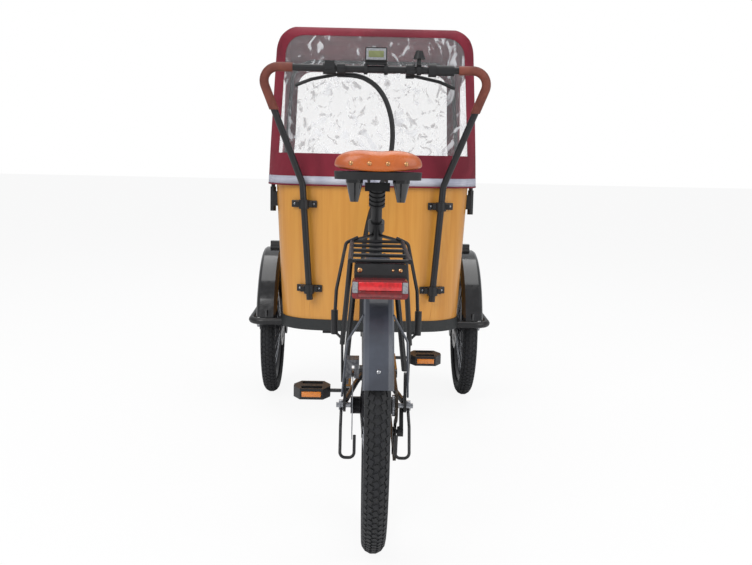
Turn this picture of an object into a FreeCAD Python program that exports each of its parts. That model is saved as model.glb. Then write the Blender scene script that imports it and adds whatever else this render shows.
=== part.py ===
"""Three-wheeled electric cargo bike: rear frame and wheel, crankset, and a steered front box with canopy.

Millimetres. +Y is forward, +X right, +Z up. The origin is on the ground under the middle of the vehicle.
"""

import FreeCAD, Part
import math
import os

V = FreeCAD.Vector
os.makedirs("parts", exist_ok=True)

# ---------------------------------------------------------------- driving dimensions
OVERALL_LENGTH = 2190.0
WHEELBASE = 1426.0
TRACK = 733.0
REAR_TYRE_R = 333.5
FRONT_TYRE_R = 257.0
TYRE_W = 54.0

GAP = 0.3            # between pieces that sit against each other
RUN = 0.05           # radial running clearance of a shaft in its bore

# Frame
BB_AHEAD = 455.0     # bottom bracket ahead of the rear axle
BB_Z = 302.0
BB_SHELL_R = 22.0
BB_HALF = 36.0
SPINDLE_R = 11.95
SEAT_ANGLE = 66.0
SEAT_TUBE_R = 17.0
SEAT_TUBE_TOP_Z = 745.0
POST_R = 13.75
BEAM_R = 27.0
BEAM_Z = 248.0
HEAD_R = 31.0
HEAD_HALF = 31.0
KINGPIN_R = 18.0
DROPOUT_X = 67.5
DROPOUT_T = 6.0
STAY_R = 7.0
AXLE_R = 6.0

# Drive
CHAINLINE = 50.0
CHAINRING_PITCH = 85.0
SPROCKET_PITCH = 34.0
PULLEY_PITCH = 22.0
CHAIN_H = 8.0
CHAIN_W = 7.0
CRANK = 170.0
CRANK_TILT = 2.75
ARM_X = 58.0
ARM_T = 13.0
PEDAL_X = 160.0
PEDAL_W = 96.0
PEDAL_DEPTH = 90.0
PEDAL_T = 28.0
PEDAL_AXLE_R = 5.0

# Wheels
MOTOR_R = 76.0
MOTOR_HALF = 30.0
DISC_X = 52.0
DISC_R = 80.0
DISC_T = 2.0
RIM_H = 22.0
RIM_W = 30.0
FRONT_HUB_R = 17.0
FRONT_HUB_HALF = 30.0
FRONT_DISC_OFFSET = 34.0
SPOKE_R = 1.1

# Saddle and rack
SADDLE_W = 214.0
SADDLE_L = 262.0
SADDLE_TOP_Z = 926.0
SADDLE_SEAM_Z = 872.0
SADDLE_BASE_Z = 853.0
SPRING_X = 57.0
RACK_HALF = 60.0
RACK_Z = 700.0
RACK_REAR = -250.0   # from the rear axle
RACK_FRONT = 112.0
FENDER_R = 352.0
FENDER_W = 63.0
FENDER_T = 2.5

# Box and tray
BOX_AHEAD = 1003.0   # box rear wall ahead of the rear axle
BOX_HALF_LOW = 309.0
BOX_HALF_TOP = 335.0
WALL = 12.0
TRAY_BOTTOM = 315.0
TRAY_TOP = 353.0
TRAY_FLOOR = 12.0
TRAY_LIP = 5.0
WALL_TOP = 830.0
BULGE_R = 1060.0
CORNER_R = 135.0
SEAM_LOW = 204.0
SEAM_TOP = 240.0
BENCH_Z = 580.0
BENCH_T = 15.0
CUSHION_T = 42.0

# Canopy
HEM_Z = 806.0
HEM_HALF = 361.0
HEM_OUT = 14.0       # hem outside the box wall, at the front and the rear
ROOF_REAR_Z = 1340.0
ROOF_FRONT_Z = 1272.0
ROOF_REAR_AHEAD = 58.0
ROOF_LENGTH = 560.0
SIDE_LEAN = 38.0     # how far each side leans in from hem to roof
SHELL_T = 4.0
ROOF_CORNER_R = 98.0
WINDOW_Z = 914.0
WINDOW_MARGIN = 30.0
FILM_T = 2.0
POLE_R = 7.0
POLE_X = 345.5

# Front wheel guards and fenders
GUARD_Z = 322.0
GUARD_R = 12.0
GUARD_REACH = 296.0
GUARD_X = 420.0
PLATE_T = 6.0
FRONT_FENDER_R = 300.0
FRONT_FENDER_W = 74.0

# Cable loom, which leaves the left brake lever and ends on a block on the tray
LOOM_R = 8.0
LOOM_X = -30.0
LOOM_Y = 222.0
LOOM_POINTS = [(-96, 147, 1163), (-56, 147, 1163), (-10, 148, 1142), (22, 150, 1110), (44, 153, 1066),
               (57, 157, 1016), (60, 161, 962), (54, 166, 908), (40, 172, 854), (20, 180, 800), (0, 190, 748),
               (-14, 200, 694), (-23, 208, 640), (-28, 214, 584), (-30, 218, 527), (-30, 221, 471),
               (-30, 222, 412), (-30, 222, 353)]

# Handlebar
BAR_R = 11.0
WRAP_R = 14.5
POST_BEHIND = 8.0    # post centre behind the box's rear wall line
POST_FOOT = (206.0, 424.0)
POST_BEND = (234.0, 812.0)
BAR_CORNER = (372.0, 1182.0)
BAR_Z = 1180.0
BAR_BACK = 123.0     # bar behind the box's rear wall line
WRAP_LOW_Z = 1050.0
WRAP_INNER = 262.0

# ---------------------------------------------------------------- places that follow
REAR_Y = -OVERALL_LENGTH / 2 + REAR_TYRE_R
PIVOT_Y = REAR_Y + WHEELBASE
BB_Y = REAR_Y + BB_AHEAD
BOX_REAR = REAR_Y + BOX_AHEAD
BOX_FRONT = OVERALL_LENGTH / 2 - HEM_OUT
POST_Y = BOX_REAR - POST_BEHIND
BAR_Y = BOX_REAR - BAR_BACK
WHEEL_X = TRACK / 2
SEAT_DIR = V(0, -math.cos(math.radians(SEAT_ANGLE)), math.sin(math.radians(SEAT_ANGLE)))
X_AXIS = V(1, 0, 0)
Y_AXIS = V(0, 1, 0)
Z_AXIS = V(0, 0, 1)


# ---------------------------------------------------------------- helpers
def save(name, *shapes):
    """Write one node, as one solid or as a group of solids that don't touch."""
    solids = [s for shape in shapes for s in shape.Solids]
    whole = solids[0] if len(solids) == 1 else Part.makeCompound(solids)
    whole.exportStep("parts/%s.step" % name)
    print("%-20s %3d solid(s) valid=%s volume=%.0f" % (name, len(solids), whole.isValid(), whole.Volume))
    return whole


def join(shapes):
    """Fuse shapes into as few solids as their contacts allow."""
    whole = shapes[0]
    for other in shapes[1:]:
        whole = whole.fuse(other)
    return whole.removeSplitter()


def block(x0, x1, y0, y1, z0, z1):
    """An upright box between two corners."""
    return Part.makeBox(x1 - x0, y1 - y0, z1 - z0, V(x0, y0, z0))


def rod(a, b, radius):
    """A round bar from a to b."""
    a = V(*a)
    b = V(*b)
    return Part.makeCylinder(radius, (b - a).Length, a, b - a)


def disc(x0, x1, y, z, radius, bore=0.0):
    """A round plate or sleeve along X."""
    body = Part.makeCylinder(radius, x1 - x0, V(x0, y, z), X_AXIS)
    if bore:
        body = body.cut(Part.makeCylinder(bore, x1 - x0 + 2, V(x0 - 1, y, z), X_AXIS))
    return body


def mirror(shape):
    """The same shape on the other side of the vehicle."""
    return shape.mirror(V(0, 0, 0), X_AXIS)


def both(shape):
    """A right-hand shape and its left-hand twin."""
    return [shape, mirror(shape)]


def rounded_path(points, bend_r):
    """A wire of straight runs joined by tangent arcs."""
    points = [V(*p) for p in points]
    edges = []
    start = points[0]
    for before, corner, after in zip(points, points[1:], points[2:]):
        u = (before - corner).normalize()
        w = (after - corner).normalize()
        half = u.getAngle(w) / 2
        back = bend_r / math.tan(half)
        a = corner + u * back
        b = corner + w * back
        centre = corner + (u + w).normalize() * (bend_r / math.sin(half))
        middle = centre + (corner - centre).normalize() * bend_r
        edges.append(Part.makeLine(start, a))
        edges.append(Part.Arc(a, middle, b).toShape())
        start = b
    edges.append(Part.makeLine(start, points[-1]))
    return Part.Wire(edges)


def swept(path, radius):
    """A round bar along a smooth wire."""
    edge = path.Edges[0]
    start = edge.valueAt(edge.FirstParameter)
    along = edge.tangentAt(edge.FirstParameter)
    ring = Part.Wire([Part.makeCircle(radius, start, along)])
    return path.makePipeShell([ring], True, False)


def bent(points, radius, bend_r):
    """A round bar along straight runs with tangent arcs between them."""
    return swept(rounded_path(points, bend_r), radius)


def polygon(points):
    """A flat face through the points."""
    points = [V(*p) for p in points]
    return Part.Face(Part.makePolygon(points + points[:1]))


def spun(section, y, z, start=0.0, sweep=360.0):
    """Turn a section, given as (x, r) points, about the X axis through (y, z)."""
    face = polygon([(x, y + r, z) for x, r in section])
    if start:
        face.rotate(V(0, y, z), X_AXIS, start)
    return face.revolve(V(0, y, z), X_AXIS, sweep)


def capsule_plate(x0, x1, a, b, radius):
    """A flat link with round ends, in the plane across X, from a to b given as (y, z)."""
    ends = [disc(x0, x1, p[0], p[1], radius) for p in (a, b)]
    span = math.hypot(b[0] - a[0], b[1] - a[1])
    bar = block(x0, x1, 0, span, -radius, radius)
    bar.rotate(V(0, 0, 0), X_AXIS, math.degrees(math.atan2(b[1] - a[1], b[0] - a[0])))
    bar.translate(V(0, a[0], a[1]))
    return join([ends[0], bar, ends[1]])


# ---------------------------------------------------------------- wheels
def tyre(x, y, z, radius):
    """A round-section tyre whose inner side sits on the rim."""
    crown = TYRE_W / 2
    centre = radius - crown
    seat = radius - TYRE_W + 8.0
    half = math.sqrt(crown ** 2 - (centre - seat) ** 2)
    low = V(x - half, y + seat, z)
    high = V(x + half, y + seat, z)
    arc = Part.Arc(low, V(x, y + radius, z), high).toShape()
    face = Part.Face(Part.Wire([arc, Part.makeLine(high, low)]))
    return face.revolve(V(x, y, z), X_AXIS, 360)


def rim_radii(radius):
    """The rim's outer and inner radii under a tyre of this outer radius."""
    outer = radius - TYRE_W + 8.0 - GAP
    return outer, outer - RIM_H


def rim(x, y, z, radius):
    """A box-section rim with a tapered inner side."""
    outer, inner = rim_radii(radius)
    half = RIM_W / 2
    section = [(x - half, outer), (x + half, outer), (x + half, outer - 10.0), (x + 8.0, inner),
               (x - 8.0, inner), (x - half, outer - 10.0)]
    return spun(section, y, z)


def spokes(x, y, z, radius, flange_r, flange_x, count):
    """Slanting spokes from both hub flanges to the rim, with a small gap at each end."""
    inner = rim_radii(radius)[1]
    made = []
    for side in (-1, 1):
        for i in range(count):
            turn = 2 * math.pi * (i + (0.5 if side > 0 else 0.0)) / count
            lead = turn + side * math.radians(16)
            a = V(x + side * flange_x, y + flange_r * math.cos(lead), z + flange_r * math.sin(lead))
            b = V(x + side * 4.0, y + inner * math.cos(turn), z + inner * math.sin(turn))
            along = (b - a).normalize()
            made.append(rod(a + along * (SPOKE_R / 2 + GAP), b - along * (SPOKE_R / 2 + GAP), SPOKE_R))
    return made


def brake_disc(x, y, z, bore):
    """A vented rotor with round holes in its rim."""
    plate = disc(x - DISC_T / 2, x + DISC_T / 2, y, z, DISC_R, bore)
    for i in range(6):
        turn = 2 * math.pi * i / 6
        hole = disc(x - DISC_T, x + DISC_T, y + 48 * math.cos(turn), z + 48 * math.sin(turn), 13.0)
        plate = plate.cut(hole)
    return plate


def front_wheel(side, name):
    """One front wheel: tyre, rim, and a hub with its spokes and disc."""
    x = side * WHEEL_X
    z = FRONT_TYRE_R
    save("front_tyre_" + name, tyre(x, PIVOT_Y, z, FRONT_TYRE_R))
    save("front_rim_" + name, rim(x, PIVOT_Y, z, FRONT_TYRE_R))
    bore = AXLE_R + RUN
    half = FRONT_HUB_HALF
    section = [(x - half - 6, bore), (x - half - 6, 14.0), (x - half, 14.0), (x - half, 27.0),
               (x - half + 4, 27.0), (x - half + 8, FRONT_HUB_R), (x + half - 8, FRONT_HUB_R),
               (x + half - 4, 27.0), (x + half, 27.0), (x + half, 14.0), (x + half + 6, 14.0),
               (x + half + 6, bore)]
    hub = spun(section, PIVOT_Y, z)
    rotor_x = x - side * FRONT_DISC_OFFSET
    rotor = brake_disc(rotor_x, PIVOT_Y, z, 13.0)
    wires = spokes(x, PIVOT_Y, z, FRONT_TYRE_R, 27.0, half - 2, 14)
    save("front_hub_" + name, join([hub, rotor]))
    save("front_spokes_" + name, *wires)


for wheel_side, wheel_name in ((-1, "left"), (1, "right")):
    front_wheel(wheel_side, wheel_name)

save("rear_tyre", tyre(0, REAR_Y, REAR_TYRE_R, REAR_TYRE_R))
save("rear_rim", rim(0, REAR_Y, REAR_TYRE_R, REAR_TYRE_R))
save("rear_spokes", *spokes(0, REAR_Y, REAR_TYRE_R, REAR_TYRE_R, MOTOR_R, MOTOR_HALF - 3, 18))
hub_bore = AXLE_R + RUN
motor_section = [(-DISC_X - 4, hub_bore), (-DISC_X - 4, 20.0), (-MOTOR_HALF - 4, 20.0), (-MOTOR_HALF, MOTOR_R - 12),
                 (-MOTOR_HALF, MOTOR_R), (-MOTOR_HALF + 5, MOTOR_R), (-MOTOR_HALF + 8, MOTOR_R - 4),
                 (MOTOR_HALF - 8, MOTOR_R - 4), (MOTOR_HALF - 5, MOTOR_R), (MOTOR_HALF, MOTOR_R),
                 (MOTOR_HALF, MOTOR_R - 12), (MOTOR_HALF + 4, 20.0), (CHAINLINE + 4, 20.0),
                 (CHAINLINE + 4, hub_bore)]
save("rear_hub_motor", spun(motor_section, REAR_Y, REAR_TYRE_R))
save("rear_brake_disc", brake_disc(-DISC_X, REAR_Y, REAR_TYRE_R, 20.0 + GAP))
cog_r = SPROCKET_PITCH - CHAIN_H / 2 - 0.7
cogs = [disc(CHAINLINE - 9 + 5 * i, CHAINLINE - 7 + 5 * i, REAR_Y, REAR_TYRE_R, cog_r + 1.5 - i * 1.5, 20.0 + GAP)
        for i in range(2)]
carrier = disc(CHAINLINE - 9, CHAINLINE + 1.4, REAR_Y, REAR_TYRE_R, 25.0, 20.0 + GAP)
cog = disc(CHAINLINE - 1.2, CHAINLINE + 1.2, REAR_Y, REAR_TYRE_R, cog_r, 20.0 + GAP)
save("rear_sprocket", join([carrier, cog]))

# ---------------------------------------------------------------- main frame
bb = V(0, BB_Y, BB_Z)
seat_length = (SEAT_TUBE_TOP_Z - BB_Z) / SEAT_DIR.z
seat_top = bb + SEAT_DIR * seat_length
beam = bent([(0, PIVOT_Y - HEAD_R + 8, BEAM_Z), (0, BB_Y + 190, BEAM_Z), (0, BB_Y, BB_Z)], BEAM_R, 160)
head = Part.makeCylinder(HEAD_R, 2 * HEAD_HALF, V(0, PIVOT_Y, BEAM_Z - HEAD_HALF))
shell = disc(-BB_HALF, BB_HALF, BB_Y, BB_Z, BB_SHELL_R)
seat_tube = Part.makeCylinder(SEAT_TUBE_R, seat_length, bb, SEAT_DIR)
collar = Part.makeCylinder(SEAT_TUBE_R + 4, 26, seat_top - SEAT_DIR * 26, SEAT_DIR)
frame = join([beam, head, shell, seat_tube, collar])
post_depth = 90.0
frame = frame.cut(Part.makeCylinder(POST_R + RUN, post_depth + 5, seat_top - SEAT_DIR * post_depth, SEAT_DIR))
frame = frame.cut(Part.makeCylinder(KINGPIN_R + RUN, 2 * HEAD_HALF + 2, V(0, PIVOT_Y, BEAM_Z - HEAD_HALF - 1)))
frame = frame.cut(disc(-BB_HALF - 1, BB_HALF + 1, BB_Y, BB_Z, SPINDLE_R + RUN))
save("main_frame", frame)

axle_y = REAR_Y
axle_z = REAR_TYRE_R
plate_x0 = DROPOUT_X
plate_x1 = DROPOUT_X + DROPOUT_T
plate_mid = (plate_x0 + plate_x1) / 2
dropout = join([capsule_plate(plate_x0, plate_x1, (axle_y, axle_z), (axle_y + 42, axle_z - 3), 16),
                capsule_plate(plate_x0, plate_x1, (axle_y, axle_z), (axle_y + 14, axle_z + 62), 14)])
dropout = dropout.cut(disc(plate_x0 - 1, plate_x1 + 1, axle_y, axle_z, AXLE_R + GAP))
stay_start = (BB_SHELL_R + 5, BB_Y - BB_SHELL_R + 6, BB_Z + 1)
chain_stay = bent([stay_start, (44, BB_Y - 150, BB_Z + 10), (plate_mid, axle_y + 36, axle_z - 3)], STAY_R, 220)
right_stay = join([chain_stay, dropout])
bb_clear = disc(-BB_HALF - 5, BB_HALF + 5, BB_Y, BB_Z, BB_SHELL_R + GAP)
right_stay = right_stay.cut(bb_clear)
save("chain_stays", *both(right_stay))


def on_seat_tube(z):
    """The point on the seat tube's centre line at this height."""
    return bb + SEAT_DIR * ((z - BB_Z) / SEAT_DIR.z)


stay_top = on_seat_tube(655)
seat_stay = bent([(SEAT_TUBE_R + STAY_R - 3, stay_top.y, stay_top.z), (54, axle_y + 235, axle_z + 250),
                  (plate_mid, axle_y + 16, axle_z + 64)], STAY_R, 160)
seat_clear = Part.makeCylinder(SEAT_TUBE_R + GAP, seat_length + 60, bb, SEAT_DIR)
drop_clear = right_stay.copy()
seat_stay = seat_stay.cut(seat_clear).cut(block(plate_x0 - 6, plate_x1 + 6, axle_y - 40, axle_y + 60, axle_z - 60,
                                                axle_z + 76 + GAP))
save("seat_stays", *both(seat_stay))

axle = disc(-DROPOUT_X - 22, DROPOUT_X + 22, axle_y, axle_z, AXLE_R)
nuts = both(disc(plate_x1 + GAP, plate_x1 + 10, axle_y, axle_z, 12.0))
save("rear_axle", join([axle] + nuts))

# ---------------------------------------------------------------- saddle
post_low = seat_top - SEAT_DIR * (post_depth - 2)
post_length = (SADDLE_BASE_Z - 16 - post_low.z) / SEAT_DIR.z
post = Part.makeCylinder(POST_R, post_length, post_low, SEAT_DIR)
post_head = post_low + SEAT_DIR * post_length
bellows = [Part.makeCylinder(17.5 if i % 2 else 20.5, 6.0, on_seat_tube(786 + 6 * i * SEAT_DIR.z), SEAT_DIR)
           for i in range(8)]
clamp = block(-31, 31, post_head.y - 16, post_head.y + 16, post_head.z - 14, SADDLE_BASE_Z - 9)
save("seat_post", join([post] + bellows + [clamp]))

SADDLE_REAR = post_head.y - 108
saddle_half = [(0.0, 0.30), (0.05, 0.80), (0.16, 1.0), (0.34, 0.93), (0.52, 0.55), (0.72, 0.27), (0.92, 0.20)]


def saddle_outline(scale, z):
    """The saddle's plan outline at a height, drawn smooth through both sides."""
    right = [V(SADDLE_W / 2 * w * scale, SADDLE_REAR + SADDLE_L * (0.5 + (t - 0.5) * scale), z)
             for t, w in saddle_half]
    left = [V(-p.x, p.y, z) for p in reversed(right)]
    nose = V(0, SADDLE_REAR + SADDLE_L * (0.5 + 0.5 * scale), z)
    curve = Part.BSplineCurve()
    curve.interpolate(right + [nose] + left, PeriodicFlag=True)
    return Part.Wire([curve.toShape()])


levels = [(1.0, SADDLE_SEAM_Z + GAP), (0.99, SADDLE_SEAM_Z + 22), (0.88, SADDLE_TOP_Z - 12), (0.66, SADDLE_TOP_Z)]
cover = Part.makeLoft([saddle_outline(s, z) for s, z in levels], True, False)
save("saddle_cover", cover)
base = Part.makeLoft([saddle_outline(0.97, SADDLE_BASE_Z), saddle_outline(0.985, SADDLE_SEAM_Z)], True, False)
rail_z = SADDLE_BASE_Z - 5
rails = [bent([(x, SADDLE_REAR + 45, SADDLE_BASE_Z + 3), (x, SADDLE_REAR + 62, rail_z),
               (x, SADDLE_REAR + 190, rail_z), (x, SADDLE_REAR + 210, SADDLE_BASE_Z + 3)], 3.5, 8) for x in (-22, 22)]
save("saddle_base", join([base] + rails))
spring_y = SADDLE_REAR + 48
cones = [join([Part.makeCylinder(21, 8, V(x, spring_y, SADDLE_BASE_Z - 8 - GAP)),
               Part.makeCone(10, 20, 46, V(x, spring_y, SADDLE_BASE_Z - 54 - GAP))]) for x in (-SPRING_X, SPRING_X)]
save("saddle_springs", *cones)

# ---------------------------------------------------------------- rack, fender, light
rack_y0 = REAR_Y + RACK_REAR
rack_y1 = REAR_Y + RACK_FRONT
rail_r = 5.0
leg_foot = (78.0, axle_y, 478.0)
deck = [rod((x, rack_y0, RACK_Z), (x, rack_y1, RACK_Z + 7), rail_r) for x in (-RACK_HALF, RACK_HALF)]
for i in range(5):
    share = i / 4
    bar_y = rack_y0 + 6 + (rack_y1 - rack_y0 - 12) * share
    deck.append(rod((-RACK_HALF, bar_y, RACK_Z + 7 * share), (RACK_HALF, bar_y, RACK_Z + 7 * share), rail_r - 1))
leg_top = (RACK_HALF, axle_y - 40, RACK_Z)
for side in (-1, 1):
    deck.append(rod((side * leg_top[0], leg_top[1], leg_top[2]), (side * leg_foot[0], leg_foot[1], leg_foot[2]), 6.0))
    deck.append(rod((side * leg_foot[0], leg_foot[1], leg_foot[2] + 2),
                    (side * (plate_x1 + 3 + GAP), axle_y + 12, axle_z + 52), 3.0))
    strut_end = on_seat_tube(RACK_Z + 9)
    deck.append(rod((side * RACK_HALF, rack_y1, RACK_Z + 7), (side * 10, strut_end.y - 14, RACK_Z + 9), 4.0))
rack = join(deck).cut(Part.makeCylinder(SEAT_TUBE_R + GAP, seat_length + 60, bb, SEAT_DIR))
save("rear_rack", *sorted(rack.Solids, key=lambda s: -s.Volume)[:1])

housing = block(-52, 52, rack_y0 - 8, rack_y0 + 34, RACK_Z - 70, RACK_Z - rail_r + 1 - GAP)
housing = housing.makeFillet(5, [e for e in housing.Edges if abs(e.tangentAt(e.FirstParameter).y) > 0.9])
save("rack_end_housing", housing)
light_z0 = RACK_Z - 70
light_z1 = RACK_Z - 32
lamp = block(-56, 56, rack_y0 - 46, rack_y0 - 8 - GAP, light_z0, light_z1)
lamp = lamp.makeFillet(8, [e for e in lamp.Edges if abs(e.tangentAt(e.FirstParameter).y) > 0.9])
save("tail_light", lamp)


def fender(x, y, z, radius, width, start, end):
    """A curved guard round a wheel, from one angle above the forward line to another."""
    half = width / 2
    t = FENDER_T
    section = [(x - half, radius - 14), (x - half + 4, radius - 5), (x - half + 12, radius), (x + half - 12, radius),
               (x + half - 4, radius - 5), (x + half, radius - 14), (x + half - t, radius - 14),
               (x + half - 4 - t, radius - 6 - t / 2), (x + half - 13, radius - t), (x - half + 13, radius - t),
               (x - half + 4 + t, radius - 6 - t / 2), (x - half + t, radius - 14)]
    return spun(section, y, z, start, end - start)


fender_end = 160.0
guard_fender = fender(0, REAR_Y, REAR_TYRE_R, FENDER_R, FENDER_W, 24, fender_end)
wires = []
for side in (-1, 1):
    turn = math.radians(132)
    reach = FENDER_R - 12
    top = (side * (FENDER_W / 2 - 1), axle_y + reach * math.cos(turn), axle_z + reach * math.sin(turn))
    knee = (side * 64, axle_y + 250 * math.cos(turn), axle_z + 250 * math.sin(turn))
    wires.append(bent([top, knee, (side * (plate_x1 + 3 + GAP), axle_y - 4, axle_z + 22)], 2.5, 40))
bridge = on_seat_tube(560)
wires.append(rod((0, REAR_Y + (FENDER_R - 1) * math.cos(math.radians(40)),
                  REAR_TYRE_R + (FENDER_R - 1) * math.sin(math.radians(40))), (0, bridge.y, bridge.z), 7.0))
rear_fender = join([guard_fender] + wires).cut(Part.makeCylinder(SEAT_TUBE_R + GAP, seat_length, bb, SEAT_DIR))
save("rear_fender", *sorted(rear_fender.Solids, key=lambda s: -s.Volume)[:1])

straps = []
for side in (-1, 1):
    strap = bent([(side * (RACK_HALF - 14), rack_y1 - 6, RACK_Z + 7 + rail_r + 4 + GAP),
                  (side * (RACK_HALF + 14), rack_y1 - 14, RACK_Z + 4),
                  (side * 94, axle_y + 30, 600), (side * 97, axle_y + 8, 520)], 4.0, 14)
    hook = rod((side * 97, axle_y + 8, 556), (side * 96, axle_y + 6, 500), 8.0)
    foot = rod((side * 96, axle_y + 6, 506), (side * (leg_foot[0] + 2), axle_y, 492), 3.0)
    straps.append(join([strap, hook, foot]))
straps = [s.cut(rack) for s in straps]
save("rack_straps", *[sorted(s.Solids, key=lambda p: -p.Volume)[0] for s in straps])

# ---------------------------------------------------------------- drive
def tangent_run(c0, r0, s0, c1, r1, s1):
    """Ends of the straight run from one circle to the next; s is +1 where the chain turns to the left."""
    dx = c1[0] - c0[0]
    dy = c1[1] - c0[1]
    span = math.hypot(dx, dy)
    lean = math.asin((s0 * r0 - s1 * r1) / span)
    along = math.atan2(dy, dx) + lean
    normal = (math.sin(along), -math.cos(along))
    a = (c0[0] + normal[0] * s0 * r0, c0[1] + normal[1] * s0 * r0)
    b = (c1[0] + normal[0] * s1 * r1, c1[1] + normal[1] * s1 * r1)
    return a, b


guide = (REAR_Y + 12.0, REAR_TYRE_R - 66.0)
tension = (REAR_Y + 34.0, REAR_TYRE_R - 118.0)
circles = [((BB_Y, BB_Z), CHAINRING_PITCH, 1), ((REAR_Y, REAR_TYRE_R), SPROCKET_PITCH, 1),
           (guide, PULLEY_PITCH, -1), (tension, PULLEY_PITCH, 1)]


def chain_loop():
    """The chain's centre line, as a closed wire in the plane of the chainline."""
    runs = [tangent_run(*circles[i], *circles[(i + 1) % len(circles)]) for i in range(len(circles))]
    edges = []
    for i, (a, b) in enumerate(runs):
        edges.append(Part.makeLine(V(CHAINLINE, *a), V(CHAINLINE, *b)))
        centre, radius, turn = circles[(i + 1) % len(circles)]
        after = runs[(i + 1) % len(circles)][0]
        t0 = math.atan2(b[1] - centre[1], b[0] - centre[0])
        t1 = math.atan2(after[1] - centre[1], after[0] - centre[0])
        while turn > 0 and t1 < t0:
            t1 += 2 * math.pi
        while turn < 0 and t1 > t0:
            t1 -= 2 * math.pi
        tm = (t0 + t1) / 2
        middle = V(CHAINLINE, centre[0] + radius * math.cos(tm), centre[1] + radius * math.sin(tm))
        edges.append(Part.Arc(V(CHAINLINE, *b), middle, V(CHAINLINE, *after)).toShape())
    return Part.Wire(edges)


loop = chain_loop()
outer_face = Part.Face(loop.makeOffset2D(CHAIN_H / 2))
inner_face = Part.Face(loop.makeOffset2D(-CHAIN_H / 2))
big, small = sorted([outer_face, inner_face], key=lambda f: -f.Area)
chain = big.cut(small).extrude(V(CHAIN_W, 0, 0))
chain.translate(V(-CHAIN_W / 2, 0, 0))
save("chain", chain)

cage_half = CHAIN_W / 2 + 2.0
pulley_r = PULLEY_PITCH - CHAIN_H / 2 - 0.7
cage = []
for side in (-1, 1):
    x0 = CHAINLINE + side * cage_half - 1.0
    cage.append(capsule_plate(x0, x0 + 2.0, guide, tension, 11))
for centre in (guide, tension):
    cage.append(disc(CHAINLINE - 1.5, CHAINLINE + 1.5, centre[0], centre[1], pulley_r))
    cage.append(disc(CHAINLINE - cage_half - 1, CHAINLINE + cage_half + 1, centre[0], centre[1], 5))
arm_out = CHAINLINE + cage_half + 1
cage.append(disc(arm_out - 1, arm_out + 12, guide[0], guide[1], 12))
cage.append(capsule_plate(arm_out + 3, arm_out + 12, guide, (REAR_Y + 30, REAR_TYRE_R - 22), 9))
save("derailleur", join(cage).cut(right_stay))

crank_turn = math.radians(CRANK_TILT)
pedal_right = (BB_Y + CRANK * math.cos(crank_turn), BB_Z + CRANK * math.sin(crank_turn))
pedal_left = (BB_Y - CRANK * math.cos(crank_turn), BB_Z - CRANK * math.sin(crank_turn))
spindle = disc(-ARM_X - ARM_T + 1, ARM_X + ARM_T - 1, BB_Y, BB_Z, SPINDLE_R)
arms = [spindle]
pedal_half = PEDAL_W / 2
for side, eye in ((1, pedal_right), (-1, pedal_left)):
    x0, x1 = sorted((side * ARM_X, side * (ARM_X + ARM_T)))
    arms.append(capsule_plate(x0, x1, (BB_Y, BB_Z), eye, 12.5))
    s0, s1 = sorted((side * (ARM_X + 2), side * (PEDAL_X + pedal_half - 6)))
    arms.append(disc(s0, s1, eye[0], eye[1], PEDAL_AXLE_R))
save("crank_arms", join(arms))
ring_r = CHAINRING_PITCH - CHAIN_H / 2 - 0.7
ring = disc(CHAINLINE - 1.5, CHAINLINE + 1.5, BB_Y, BB_Z, ring_r, SPINDLE_R + GAP)
for i in range(5):
    turn = 2 * math.pi * (i + 0.5) / 5
    ring = ring.cut(disc(CHAINLINE - 3, CHAINLINE + 3, BB_Y + 48 * math.cos(turn), BB_Z + 48 * math.sin(turn), 16))
boss = disc(CHAINLINE + 1, ARM_X - GAP, BB_Y, BB_Z, 26, SPINDLE_R + GAP)
save("chainring", join([ring, boss]))


def pedal(side, eye):
    """A flat pedal with a narrower front and rear edge and two windows, on its axle."""
    cx = side * PEDAL_X
    cy, cz = eye
    half = PEDAL_DEPTH / 2
    plan = polygon([(cx - pedal_half, cy - 12, cz - PEDAL_T / 2), (cx - pedal_half + 18, cy - half, cz - PEDAL_T / 2),
                    (cx + pedal_half - 18, cy - half, cz - PEDAL_T / 2), (cx + pedal_half, cy - 12, cz - PEDAL_T / 2),
                    (cx + pedal_half, cy + 12, cz - PEDAL_T / 2),
                    (cx + pedal_half - 18, cy + half, cz - PEDAL_T / 2),
                    (cx - pedal_half + 18, cy + half, cz - PEDAL_T / 2), (cx - pedal_half, cy + 12, cz - PEDAL_T / 2)])
    body = plan.extrude(V(0, 0, PEDAL_T))
    for sign in (-1, 1):
        y0, y1 = sorted((cy + sign * 13, cy + sign * (half - 8)))
        body = body.cut(block(cx - 27, cx + 27, y0, y1, cz - PEDAL_T, cz + PEDAL_T))
    return body.cut(disc(cx - pedal_half - 1, cx + pedal_half + 1, cy, cz, PEDAL_AXLE_R + RUN))


save("pedal_left", pedal(-1, pedal_left))
save("pedal_right", pedal(1, pedal_right))

caliper_y = axle_y + 4
caliper = block(-72, -38, caliper_y - 24, caliper_y + 22, axle_z + 68, axle_z + 112)
caliper = caliper.cut(block(-DISC_X - 3, -DISC_X + 3, caliper_y - 30, caliper_y + 30, axle_z + 60, axle_z + 98))
lug = block(-plate_x0 + GAP, -62, caliper_y - 8, caliper_y + 22, axle_z + 50, axle_z + 72)
save("rear_caliper", join([caliper, lug]).cut(mirror(right_stay)).cut(mirror(seat_stay)))

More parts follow.
